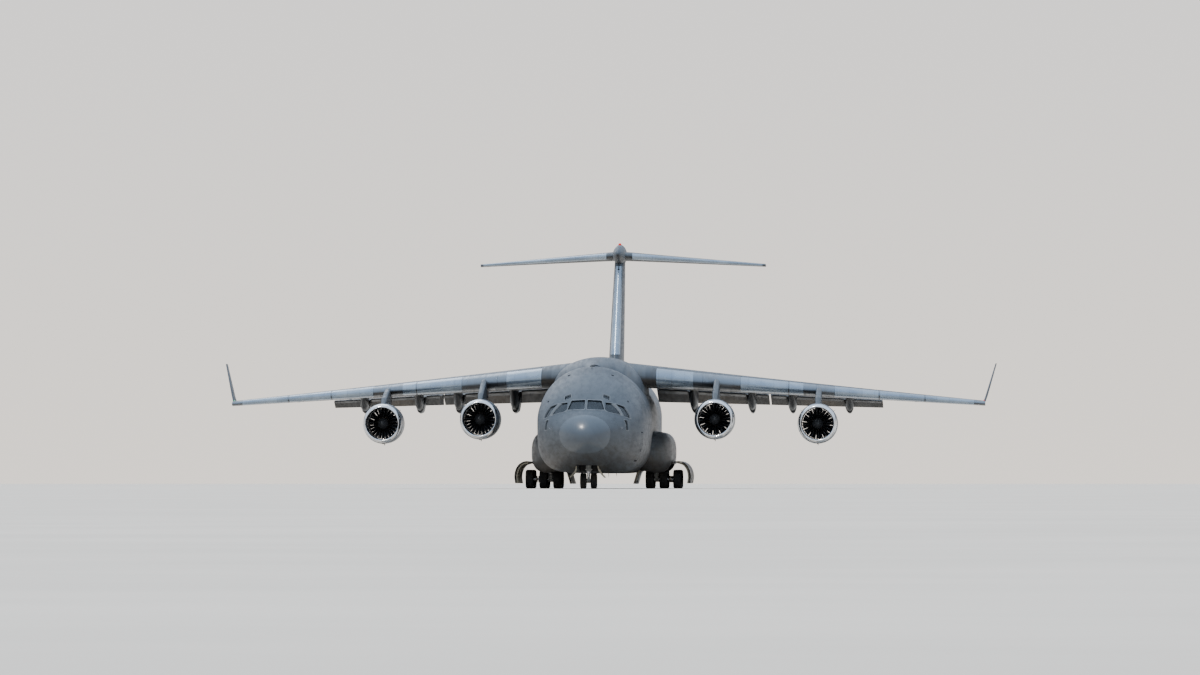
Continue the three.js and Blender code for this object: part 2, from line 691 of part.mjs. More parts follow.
// The hinge line leans aft, so a turned rudder needs this room at both ends.
const RUDDER_END_GAP = 0.1;
const DORSAL = [[33.2, 7.6], [38.2, 7.6], [40.4, 8.9], [39.2, 8.95], [37.2, 8.25]];
const DORSAL_HALF = 0.16;

function finAt(z) {
  const part = (z - FIN_FOOT.height) / (FIN_TOP.height - FIN_FOOT.height);
  const blend = (name) => FIN_FOOT[name] + part * (FIN_TOP[name] - FIN_FOOT[name]);
  return { height: z, lead: blend('lead'), chord: blend('chord'), thickness: blend('thickness') };
}

function finRing(z) {
  const { lead, chord, thickness } = finAt(z);
  return airfoil(chord, thickness, 0).map(([along, across]) => (
    new THREE.Vector3(across, lead + along, z)));
}

function hingeCut(at, hinge, low, high, place) {
  const radius = surfaceNose(at(low), hinge);
  const upper = surfaceNose(at(high), hinge);
  return loft([[low, radius], [high, upper]].map(([span, nose]) => {
    const front = at(span).lead + hinge * at(span).chord - nose - RUNNING_GAP;
    return [[front, -1], [front, 1], [56, 1], [56, -1]].map(([y, across]) => (
      place(y, across, at(span), span)));
  }));
}

function fin() {
  const rudderCut = hingeCut(finAt, FIN_HINGE, RUDDER_SPANS.lower[0] - RUDDER_END_GAP,
    RUDDER_SPANS.upper[1] + RUDDER_END_GAP, (y, across, at) => new THREE.Vector3(across, y, at.height));
  const blade = loft([finRing(FIN_FOOT.height), finRing(FIN_TOP.height)]);
  const body = cut(join(blade, sidePrism(DORSAL, -DORSAL_HALF, DORSAL_HALF)),
    fuselageClearance, rudderCut, bullet(SEAT_GAP));
  return join(body, surfacePin(rod, rudderHinge, RUDDER_SPANS.lower[0], -1, RUDDER_PIN_OUT),
    surfacePin(rod, rudderHinge, RUDDER_SPANS.upper[1], 1, RUDDER_PIN_OUT));
}

function rudderHinge(z) {
  const { lead, chord } = finAt(z);
  return new THREE.Vector3(0, lead + FIN_HINGE * chord, z);
}

// The two halves turn together on the fin's pins and one more between them.
function rudder(span, lower) {
  const sections = span.map((z) => {
    const at = finAt(z);
    return {
      y: at.lead + FIN_HINGE * at.chord,
      z,
      radius: surfaceNose(at, FIN_HINGE),
      reach: (1 - FIN_HINGE) * at.chord,
    };
  });
  const panel = surface(sections, (along, across, at) => (
    new THREE.Vector3(across, at.y + along, at.z)));
  if (lower) {
    return join(cut(panel, surfacePin(bore, rudderHinge, span[0], -1)),
      rod(rudderHinge(span[1] - 0.1).toArray(), rudderHinge(span[1] + 0.15).toArray(), SURFACE_PIN.radius));
  }
  return cut(panel, surfacePin(bore, rudderHinge, span[0], -1), surfacePin(bore, rudderHinge, span[1], 1));
}

// Stabilizer with the bullet that fairs it to the fin
const STABILIZER_CENTRE = { lead: 45.2, chord: 5.6, height: 16.0, thickness: 0.11 };
const STABILIZER_TIP = { lead: 50.89, chord: 2.15, height: 15.48, thickness: 0.09 };
const ELEVATOR_SPAN = [0.75, 9.55];
// station, half_width, top, bottom
const BULLET_SECTIONS = [
  [43.6, 0.06, 16.12, 15.98], [44.2, 0.28, 16.40, 15.66], [45.4, 0.43, 16.64, 15.40],
  [47.4, 0.45, 16.79, 15.34], [49.4, 0.36, 16.66, 15.52], [51.0, 0.06, 16.20, 16.02],
];
const BULLET_SIDES = 12;

function bullet(grow = 0) {
  return loft(BULLET_SECTIONS.map(([station, half, top, bottom]) => {
    const ring = [];
    for (let side = 0; side < BULLET_SIDES; side += 1) {
      const angle = (2 * Math.PI * side) / BULLET_SIDES;
      ring.push(new THREE.Vector3(
        (half + grow) * Math.cos(angle),
        station,
        (top + bottom) / 2 + ((top - bottom) / 2 + grow) * Math.sin(angle)));
    }
    return ring;
  }));
}

function stabilizerAt(x) {
  const part = Math.abs(x) / STABILIZER_SPAN;
  const blend = (name) => (
    STABILIZER_CENTRE[name] + part * (STABILIZER_TIP[name] - STABILIZER_CENTRE[name]));
  return {
    lead: blend('lead'), chord: blend('chord'), height: blend('height'), thickness: blend('thickness'),
  };
}

function stabilizer() {
  const rings = [-STABILIZER_SPAN, 0, STABILIZER_SPAN].map((x) => {
    const { lead, chord, height, thickness } = stabilizerAt(x);
    return airfoil(chord, thickness, 0).map(([along, up]) => (
      new THREE.Vector3(x, lead + along, height + up)));
  });
  const elevatorCut = hingeCut(stabilizerAt, ELEVATOR_HINGE, ELEVATOR_SPAN[0] - RUNNING_GAP,
    ELEVATOR_SPAN[1] + RUNNING_GAP, (y, across, at, x) => new THREE.Vector3(x, y, at.height + across));
  const pins = ELEVATOR_SPAN.map((x, i) => surfacePin(rod, elevatorHinge, x, i ? 1 : -1));
  return join(cut(loft(rings), elevatorCut, mirrored(elevatorCut)), bullet(),
    ...pins, ...pins.map(mirrored));
}

function elevatorHinge(x) {
  const { lead, chord, height } = stabilizerAt(x);
  return new THREE.Vector3(x, lead + ELEVATOR_HINGE * chord, height);
}

function elevator() {
  const sections = ELEVATOR_SPAN.map((x) => {
    const at = stabilizerAt(x);
    return {
      x,
      y: at.lead + ELEVATOR_HINGE * at.chord,
      z: at.height,
      radius: surfaceNose(at, ELEVATOR_HINGE),
      reach: (1 - ELEVATOR_HINGE) * at.chord,
    };
  });
  const panel = surface(sections, (along, across, at) => (
    new THREE.Vector3(at.x, at.y + along, at.z + across)));
  return cut(panel, ...ELEVATOR_SPAN.map((x, i) => surfacePin(bore, elevatorHinge, x, i ? 1 : -1)));
}

// Engines, drawn about an axis at x = 0, z = 0 with the lip at y = 0
const NACELLE_SIDES = 20;
const CORE_SIDES = 14;
const HUB_SIDES = 12;
const FAN = { radius: 0.98, blades: 12, front: 1.02, back: 1.32, hub: 0.36 };
const SHAFT = { radius: 0.15, front: 1.16, back: 1.36 };
const SHAFT_BORE = boreRadius(SHAFT.radius, HUB_SIDES);
// radius, distance behind the lip
const NACELLE_PROFILE = [
  [1.055, 0.03], [1.10, 0], [1.17, 0.06], [1.26, 0.4], [1.31, 1.2], [1.30, 2.4], [1.12, 4.2],
  [1.08, 4.2], [1.07, 3.0], [1.03, 1.3], [1.00, 0.6], [1.01, 0.15],
];
const CORE_PROFILE = [
  [0, SHAFT.front], [SHAFT.radius, SHAFT.front], [SHAFT.radius, SHAFT.back], [0.46, SHAFT.back],
  [0.70, 2.2], [0.74, 3.2], [0.62, 5.1], [0.40, 5.1], [0.34, 5.35], [0.06, 6.0], [0, 6.0],
];

const grown = (profile, grow) => profile.map(([radius, along]) => (
  [radius > 0 ? radius + grow : 0, along]));

const nacelleRing = () => turned([...NACELLE_PROFILE, NACELLE_PROFILE[0]], NACELLE_SIDES);
const engineCore = (grow = 0) => turned(grown(CORE_PROFILE, grow), CORE_SIDES);

function fanBlade() {
  const root = { reach: 0.17, half: 0.03, lean: 0.75, radius: FAN.hub - 0.04 };
  const tip = { reach: 0.27, half: 0.03, lean: 0.75, radius: FAN.radius };
  const middle = (FAN.front + FAN.back) / 2 - 0.01;
  return loft([root, tip].map(({ reach, half, lean, radius }) => (
    [[-1, -1], [1, -1], [1, 1], [-1, 1]].map(([u, v]) => {
      const along = u * reach * 0.5;
      const across = v * half;
      return new THREE.Vector3(
        along * Math.sin(lean) + across * Math.cos(lean),
        middle + along * Math.cos(lean) - across * Math.sin(lean),
        radius);
    }))));
}

function fan() {
  const hub = turned([[0, 0.7], [0.13, 0.76], [0.28, 0.93], [FAN.hub, 1.08], [FAN.hub, FAN.back],
    [SHAFT_BORE, FAN.back], [SHAFT_BORE, SHAFT.front - RUNNING_GAP],
    [0, SHAFT.front - RUNNING_GAP]], HUB_SIDES);
  const blade = fanBlade();
  const blades = Array.from({ length: FAN.blades }, (_, i) => (
    blade.rotate([0, (360 * i) / FAN.blades, 0])));
  return join(hub, ...blades);
}

// Pylon: side view as (station behind the lip, height above the axis), and the wing end by chord
const PYLON_HALF = 0.19;

function pylon({ side, lip, height }, grow = 0) {
  const { lead, chord, height: wingHeight } = wingAt(side);
  const outline = [
    [lip + 0.85, height + 1.2], [lip + 1.5, height + 1.12], [lip + 1.9, height + 0.3],
    [lip + 5.0, height + 0.3], [lip + 6.3, height + 0.95],
    [lead + 0.42 * chord, wingHeight - 0.04 * chord],
    [lead - 0.02 * chord, wingHeight + 0.03 * chord], [lip + 1.9, height + 1.72],
  ];
  return sidePrism(grownOutline(outline, grow), side - PYLON_HALF - grow, side + PYLON_HALF + grow);
}

const atEngine = (solid, { side, lip, height }) => solid.translate([side, lip, height]);

function fittedPylon(engine) {
  return cut(pylon(engine), plainWing(SEAT_GAP), atEngine(engineCore(SEAT_GAP), engine));
}

const fittedNacelle = (engine) => cut(atEngine(nacelleRing(), engine), pylon(engine, SEAT_GAP));

// Gear pods: station, outer_side, top, bottom
const POD_SECTIONS = [
  [18.6, 3.10, 2.60, 1.90], [19.3, 3.80, 3.20, 1.40], [20.6, 4.35, 3.60, 1.10],
  [22.4, 4.62, 3.75, 1.03], [29.2, 4.62, 3.75, 1.03], [31.4, 4.20, 3.40, 1.16],
  [33.0, 3.40, 2.80, 1.60],
];
const POD_INNER = 2.3;
const POD_BAY = { start: 22.95, end: 28.85, inner: 2.2, top: 2.35 };
const POD_CORNERS = 10;
const POD_ROUND = 1.1;

// The outer half of a rounded bulge; the inner edge lies inside the fuselage.
function podBody(grow = 0) {
  return loft(POD_SECTIONS.map(([station, inward, high, low]) => {
    const [side, top, bottom] = [inward + grow, high + grow, low - grow];
    const middle = (top + bottom) / 2;
    const round = Math.min(POD_ROUND, side - POD_INNER - 0.1);
    const ring = [[POD_INNER, top + 0.5], [POD_INNER, bottom + 0.2]];
    for (let step = 0; step <= POD_CORNERS; step += 1) {
      const angle = (Math.PI * step) / POD_CORNERS - Math.PI / 2;
      const [c, s] = [Math.cos(angle), Math.sin(angle)];
      ring.push([
        side - round + round * Math.abs(c) ** 0.75,
        middle + ((top - bottom) / 2) * Math.sign(s) * Math.abs(s) ** 0.75,
      ]);
    }
    return ring.map(([x, z]) => new THREE.Vector3(x, station, z));
  }));
}

function gearPod() {
  const { start, end, inner, top } = POD_BAY;
  const bay = frontPrism([[inner, 0], [inner, top], [4.2, top], [4.45, 1.62], [5.4, 1.55], [5.4, 0]],
    start, end);
  return join(cut(podBody(), fuselageClearance, bay), jackPad(POD_PAD));
}

// Gear doors, with the tube that hinges each pair
const DOOR_THICKNESS = 0.05;

function plate(outline, y0, y1) {
  const outer = outline.map(([x, z], i) => {
    const [xa, za] = outline[Math.max(i - 1, 0)];
    const [xb, zb] = outline[Math.min(i + 1, outline.length - 1)];
    const step = DOOR_THICKNESS / Math.hypot(xb - xa, zb - za);
    return [x - step * (zb - za), z + step * (xb - xa)];
  });
  return frontPrism([...outline, ...outer.reverse()], y0, y1);
}

function outerGearDoor() {
  const outline = [[4.46, 1.62], [4.98, 1.76], [5.4, 1.62], [5.66, 1.28], [5.76, 0.82], [5.7, 0.36]];
  const panel = plate(outline, POD_BAY.start + 0.1, POD_BAY.end - 0.1);
  const tube = rod([4.56, POD_BAY.start + 0.1, 1.68], [4.56, POD_BAY.end - 0.1, 1.68], 0.07);
  return cut(join(panel, tube), podBody(SEAT_GAP));
}

function innerGearDoors() {
  const outline = [[2.44, 1.75], [2.38, 1.2], [2.28, 0.98], [2.08, 0.32]];
  const span = [[POD_BAY.start + 0.05, 25.7], [25.95, POD_BAY.end - 0.05]];
  const panels = span.map(([y0, y1]) => plate(outline, y0, y1));
  const tube = rod([2.42, span[0][0], 1.17], [2.42, span[1][1], 1.17], 0.05);
  return cut(join(...panels, tube), fuselageClearance);
}

function noseGearDoor() {
  const panel = plate([[0.66, 1.75], [0.72, 1.16], [1.06, 0.72]], 3.95, 5.6);
  return cut(panel, fuselageClearance);
}

// Wheels and legs

// A tyre on its rim, turned about the X axis and centred on x = 0.
function wheel({ radius, width, rim }) {
  const half = width / 2;
  const profile = [
    [0, -half * 0.6], [rim, -half * 0.6], [radius - 0.12, -half], [radius, -half * 0.62],
    [radius, half * 0.62], [radius - 0.12, half], [rim, half * 0.6], [0, half * 0.6],
  ];
  return turned(profile, TYRE_SIDES).rotate([0, 360 / TYRE_SIDES / 2, 0]).rotate([0, 0, -90]);
}

// Height of an axle whose tyre stands on one of its flats.
const axleHeight = ({ radius }) => radius * Math.cos(Math.PI / TYRE_SIDES);
const AXLE_SIDES = 8;
const MAIN_AXLE_RADIUS = 0.085;
const NOSE_AXLE_RADIUS = 0.06;

function wheelSet(tyre, places, station, axleRadius) {
  const z = axleHeight(tyre);
  const axle = rod([places[0], station, z], [places.at(-1), station, z], axleRadius, AXLE_SIDES);
  return join(axle, ...places.map((x) => wheel(tyre).translate([x, station, z])));
}

const mainWheelSet = (station) => wheelSet(MAIN_TYRE, MAIN_WHEELS, station, MAIN_AXLE_RADIUS);

function mainStrut(station) {
  const z = axleHeight(MAIN_TYRE);
  const lean = station < 26 ? 1 : -1;
  const tang = block([MAIN_POST - 0.13, station - 0.19, z - 0.17], [MAIN_POST + 0.13, station + 0.19, 1.5]);
  const post = rod([MAIN_POST, station, 1.38], [MAIN_POST, station, 2.6], 0.24, 16);
  const brace = rod([MAIN_POST, station, 1.5], [MAIN_POST, station + lean * 1.15, 2.6], 0.09);
  const hole = bore([2.9, station, z], [5.1, station, z], MAIN_AXLE_RADIUS);
  return cut(join(tang, post, brace), hole, cut(podBody(), podCavity()), fuselageClearance);
}

// The bay grown by a seating gap, so that a leg ends on its roof.
function podCavity() {
  const { start, end, inner, top } = POD_BAY;
  return block([inner, start, 0], [6, end, top - SEAT_GAP]);
}

const STEER_HEIGHT = 1.32;

function noseStrut() {
  const post = rod([0, NOSE_AXLE, STEER_HEIGHT + SEAT_GAP], [0, NOSE_AXLE, NOSE_BAY.top - SEAT_GAP], 0.17, 16);
  const brace = rod([0, NOSE_AXLE, 1.6], [0, 4.35, 2.42], 0.06);
  const lamps = [-0.28, 0.28].map((x) => rod([x, NOSE_AXLE - 0.3, 1.72], [x, NOSE_AXLE - 0.16, 1.72], 0.1, 12));
  const lampBar = block([-0.3, NOSE_AXLE - 0.2, 1.66], [0.3, NOSE_AXLE - 0.12, 1.78]);
  return join(post, brace, lampBar, ...lamps);
}

function noseFork() {
  const z = axleHeight(NOSE_TYRE);
  const hole = bore([-0.5, NOSE_AXLE, z], [0.5, NOSE_AXLE, z], NOSE_AXLE_RADIUS);
  const leg = rod([0, NOSE_AXLE, z], [0, NOSE_AXLE, STEER_HEIGHT], 0.1, 16);
  const collar = rod([0, NOSE_AXLE, 1.12], [0, NOSE_AXLE, STEER_HEIGHT], 0.17, 16);
  const boss = rod([-0.1, NOSE_AXLE, z], [0.1, NOSE_AXLE, z], 0.13, 16);
  const link = block([-0.07, NOSE_AXLE + 0.05, 0.86], [0.07, NOSE_AXLE + 0.34, 0.94]);
  return cut(join(leg, collar, boss, link), hole);
}

// Assembly

const plane = new THREE.Group();

function add(name, solid, finish) {
  const [color, roughness, metalness] = FINISHES[finish];
  const mesh = new THREE.Mesh(
    geometryOf(solid), new THREE.MeshStandardMaterial({ color, roughness, metalness }));
  mesh.name = name;
  plane.add(mesh);
  return mesh;
}

// Turns a piece drawn with its flap in to the setting shown, about its hinge line.
function droop(solid, side) {
  const [a, b] = [flapHinge(FLAP_SPANS.inboard[0]), flapHinge(FLAP_SPANS.outboard[1])];
  const turn = new THREE.Matrix4().makeTranslation(a.x, a.y, a.z)
    .multiply(new THREE.Matrix4().makeRotationAxis(
      b.clone().sub(a).normalize(), -THREE.MathUtils.degToRad(FLAP_REST_DEGREES)))
    .multiply(new THREE.Matrix4().makeTranslation(-a.x, -a.y, -a.z));
  return onSide(solid.transform(turn.elements), side);
}

add('nose_section', noseSection(), 'paint');
add('center_fuselage', shell(NOSE_END, CENTER_END, NOSE_END - 1, CENTER_END + 1), 'belly');
add('aft_fuselage', aftFuselage(), 'paint');
add('wing_fairing', wingFairing(), 'paint');
add('cargo_floor', cargoFloor(), 'cabin');
add('flight_deck', flightDeck(), 'cabin');
add('flight_deck_glass', flightDeckGlass(), 'glass');
add('crew_door', crewDoor(), 'paint');
add('cargo_ramp', cargoRamp(), 'paint');
add('cargo_door', cargoDoor(), 'paint');
add('fin', fin(), 'paint');
add('rudder_lower', rudder(RUDDER_SPANS.lower, true), 'paint');
add('rudder_upper', rudder(RUDDER_SPANS.upper, false), 'paint');
add('stabilizer', stabilizer(), 'paint');
add('nose_strut', noseStrut(), 'gear');
add('nose_fork', noseFork(), 'gear');
add('nose_wheels', wheelSet(NOSE_TYRE, NOSE_WHEELS, NOSE_AXLE, NOSE_AXLE_RADIUS), 'tyre');

for (const side of ['left', 'right']) {
  add(`wing_${side}`, cut(onSide(wing(), side), fuselageClearance, fairingPart(SEAT_GAP)), 'paint');
  for (const [name, span] of Object.entries(FLAP_SPANS)) {
    add(`flap_${side}_${name}`, droop(flap(span), side), 'paint');
  }
  add(`aileron_${side}`, onSide(aileron(), side), 'paint');
  add(`elevator_${side}`, onSide(elevator(), side), 'paint');
  for (const [place, engine] of Object.entries(ENGINES)) {
    const tag = `${side}_${place}`;
    add(`pylon_${tag}`, onSide(fittedPylon(engine), side), 'paint');
    add(`nacelle_${tag}`, onSide(fittedNacelle(engine), side), 'bare_lip');
    add(`engine_${tag}`, onSide(atEngine(engineCore(), engine), side), 'hot_metal');
    add(`fan_${tag}`, onSide(atEngine(fan(), engine), side), 'fan');
  }
  add(`gear_pod_${side}`, onSide(gearPod(), side), 'belly');
  add(`outer_gear_door_${side}`, onSide(outerGearDoor(), side), 'belly');
  add(`inner_gear_doors_${side}`, onSide(innerGearDoors(), side), 'door_lining');
  add(`nose_gear_door_${side}`, onSide(noseGearDoor(), side), 'door_lining');
  for (const [place, station] of Object.entries(MAIN_AXLES)) {
    add(`main_strut_${side}_${place}`, onSide(mainStrut(station), side), 'gear');
    add(`main_wheels_${side}_${place}`, onSide(mainWheelSet(station), side), 'tyre');
  }
}

// The origin lies on the ground under the middle of the plane.
const model = new THREE.Group();
model.add(plane);
plane.position.y = -LENGTH / 2;
model.scale.setScalar(MODEL_SCALE * MILLIMETRES_PER_METRE);

export default model;
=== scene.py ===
# Looks for the half-size transport plane: finer skins over the fixed frame, materials, light and camera.
# Tables are in metres on the full-size plane (station from the nose tip, X to port, Z above the
# ground), and every mesh is brought to the half-size frame when it becomes an object. The paints
# work in the half-size frame, where their grids and marks have their sizes.

import math

import bmesh
import bpy
import numpy as np
from mathutils import Matrix, Vector


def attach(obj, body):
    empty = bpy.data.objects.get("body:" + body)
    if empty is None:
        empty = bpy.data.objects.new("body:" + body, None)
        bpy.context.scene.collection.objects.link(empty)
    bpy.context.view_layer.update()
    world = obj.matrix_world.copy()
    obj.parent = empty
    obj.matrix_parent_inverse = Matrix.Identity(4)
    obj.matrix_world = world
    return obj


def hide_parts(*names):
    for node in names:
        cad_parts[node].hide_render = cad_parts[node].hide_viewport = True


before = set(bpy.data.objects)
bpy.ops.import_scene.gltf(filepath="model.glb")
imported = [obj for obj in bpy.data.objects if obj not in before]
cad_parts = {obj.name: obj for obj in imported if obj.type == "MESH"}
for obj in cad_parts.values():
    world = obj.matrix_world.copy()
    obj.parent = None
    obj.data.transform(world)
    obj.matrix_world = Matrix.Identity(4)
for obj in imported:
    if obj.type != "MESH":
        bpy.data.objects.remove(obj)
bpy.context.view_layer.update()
LENGTH = 53.04
SCALE = 0.5
SIDES = {"left": 1, "right": -1}
# In the half-size frame: height of the hull's axis, end of the radome, lower edge of the crown's walkway
HULL_AXIS, RADOME_END, WALKWAY = 2.2, -12.62, 3.7
WING = {"lead": 16.1, "chord": 11.14, "height": 7.45, "root": 0.15, "tip": 0.11}
LEAD_SLOPE, TRAIL_SLOPE = 0.548, 0.2206
ENGINE_SIDES = {"inboard": 7.62, "outboard": 14.22}
COLLECTION = bpy.context.scene.collection


# Meshes


def round_angles(sides):
    """Equal steps round a full turn."""
    return np.linspace(0, 2 * math.pi, sides, endpoint=False)


def on_circle(radius, sides, height=0.0):
    """Points of a circle about Z."""
    return [Vector((radius * math.cos(a), radius * math.sin(a), height)) for a in round_angles(sides)]


def turned_by(part, turn):
    """A part turned or moved by a matrix or a quaternion."""
    return [tuple(turn @ Vector(v)) for v in part[0]], part[1]


def to_frame(points):
    """Full-size (side, station, height) to the half-size frame."""
    points = np.asarray(points, float)
    return (points - [0, LENGTH / 2, 0]) * SCALE


def smooth_table(rows, at):
    """Each column of a table (first column rising) run through a smooth monotone curve."""
    rows = np.asarray(rows, float)
    x, y = rows[:, 0], rows[:, 1:]
    h = np.diff(x)[:, None]
    slope = np.diff(y, axis=0) / h
    inner = np.where(
        slope[:-1] * slope[1:] > 0,
        2 * slope[:-1] * slope[1:] / np.where(slope[:-1] + slope[1:] == 0, 1, slope[:-1] + slope[1:]),
        0,
    )
    d = np.vstack([slope[:1], inner, slope[-1:]])
    at = np.clip(np.atleast_1d(at).astype(float), x[0], x[-1])
    i = np.clip(np.searchsorted(x, at, side="right") - 1, 0, len(x) - 2)
    t = ((at - x[i]) / (x[i + 1] - x[i]))[:, None]
    hi = h[i]
    return (
        (1 + 2 * t) * (1 - t) ** 2 * y[i]
        + t * (1 - t) ** 2 * hi * d[i]
        + t**2 * (3 - 2 * t) * y[i + 1]
        + t**2 * (t - 1) * hi * d[i + 1]
    )


def loft(rings, caps=True):
    """Vertices and faces over rings that all have the same number of points."""
    rings = np.asarray(rings, float)
    count, sides = rings.shape[:2]
    faces = []
    for i in range(count - 1):
        for j in range(sides):
            k = (j + 1) % sides
            faces.append((i * sides + j, i * sides + k, (i + 1) * sides + k, (i + 1) * sides + j))
    if caps:
        faces.append(tuple(range(sides))[::-1])
        faces.append(tuple((count - 1) * sides + j for j in range(sides)))
    return rings.reshape(-1, 3), faces


def joined(*parts):
    """Several parts as one."""
    verts, faces, base = [], [], 0
    for v, f in parts:
        v = np.asarray(v, float).reshape(-1, 3)
        verts.append(v)
        faces += [tuple(i + base for i in face) for face in f]
        base += len(v)
    return np.vstack(verts), faces


def mirrored(part):
    """A port part made into a starboard one."""
    verts, faces = part
    return np.asarray(verts, float) * [-1, 1, 1], [tuple(face[::-1]) for face in faces]


def on_side(part, side):
    return part if side == "left" else mirrored(part)


def moved(part, x=0, y=0, z=0):
    return np.asarray(part[0], float) + [x, y, z], part[1]


def raw(part, name="work"):
    """A mesh object in full-size metres with its faces turned outwards."""
    mesh = bpy.data.meshes.new(name)
    mesh.from_pydata([tuple(v) for v in part[0]], [], part[1])
    bm = bmesh.new()
    bm.from_mesh(mesh)
    bmesh.ops.remove_doubles(bm, verts=bm.verts, dist=1e-6)
    bmesh.ops.recalc_face_normals(bm, faces=bm.faces)
    bm.to_mesh(mesh)
    bm.free()
    obj = bpy.data.objects.new(name, mesh)
    COLLECTION.objects.link(obj)
    return obj


def boolean(part, tools, kind="DIFFERENCE"):
    """The part after it has been cut by, joined to or kept inside each tool."""
    obj = raw(part)
    for tool in tools:
        other = raw(tool, "tool")
        change = obj.modifiers.new("change", "BOOLEAN")
        change.operation, change.solver, change.object = kind, "MANIFOLD", other
        evaluated = obj.evaluated_get(bpy.context.evaluated_depsgraph_get())
        mesh = bpy.data.meshes.new_from_object(evaluated)
        obj.modifiers.clear()
        old, obj.data = obj.data, mesh
        bpy.data.meshes.remove(old)
        bpy.data.objects.remove(other)
    verts = np.array([v.co for v in obj.data.vertices], float).reshape(-1, 3)
    faces = [tuple(p.vertices) for p in obj.data.polygons]
    bpy.data.objects.remove(obj)
    return verts, faces


def piece(name, part, body, paint, replaces=(), sharp=32, bevel=0.0):
    """A finished object from a part in full-size metres, in one of the paints."""
    verts, faces = part
    obj = raw((to_frame(verts), faces), name)
    obj.data.name = name
    obj.data.materials.append(PAINTS[paint])
    obj.data.shade_smooth()
    obj.data.set_sharp_from_angle(angle=math.radians(sharp))
    if bevel:
        edge = obj.modifiers.new("edge", "BEVEL")
        edge.width, edge.segments, edge.limit_method = bevel, 2, "ANGLE"
        edge.angle_limit = math.radians(40)
    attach(obj, body)
    if replaces:
        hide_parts(*replaces)
    return obj


def block(low, high):
    """A box between two corners."""
    (x0, y0, z0), (x1, y1, z1) = low, high
    ring = lambda y: [(x0, y, z0), (x1, y, z0), (x1, y, z1), (x0, y, z1)]
    return loft([ring(y0), ring(y1)])


def side_prism(outline, x0, x1):
    """A side view outline (station, height) between two sides."""
    return loft([[(x, y, z) for y, z in outline] for x in (x0, x1)])


def front_prism(outline, y0, y1):
    """A front view outline (side, height) between two stations."""
    return loft([[(x, y, z) for x, z in outline] for y in (y0, y1)])


def rod(start, end, radius, end_radius=None, sides=20):
    """A round bar, tapered when it has another radius at its end."""
    start, end = Vector(start), Vector(end)
    turn = (end - start).to_track_quat("Z", "Y")
    rings = []
    for place, r in ((start, radius), (end, radius if end_radius is None else end_radius)):
        rings.append([place + turn @ p for p in on_circle(r, sides)])
    return loft(rings)


def path_tube(points, radius, sides=10):
    """A bent pipe through a list of points."""
    points = [Vector(p) for p in points]
    rings = []
    for i, place in enumerate(points):
        run = points[min(i + 1, len(points) - 1)] - points[max(i - 1, 0)]
        turn = run.to_track_quat("Z", "Y")
        rings.append([place + turn @ p for p in on_circle(radius, sides)])
    return loft(rings)


def turned(profile, sides=64, axis="Y"):
    """A body turned from a closed or axis-to-axis profile of (radius, distance along the axis)."""
    angles = round_angles(sides)
    open_ends = profile[0][0] > 1e-9 or profile[-1][0] > 1e-9
    rings = []
    for r, along in profile:
        r = max(r, 1e-5)
        if axis == "Y":
            rings.append([(r * math.cos(a), along, r * math.sin(a)) for a in angles])
        elif axis == "X":
            rings.append([(along, r * math.cos(a), r * math.sin(a)) for a in angles])
        else:
            rings.append([(r * math.cos(a), r * math.sin(a), along) for a in angles])
    if open_ends:
        rings.append(rings[0])
        return loft(rings, caps=False)
    return loft(rings)


# Materials: in each paint, n is its node builder


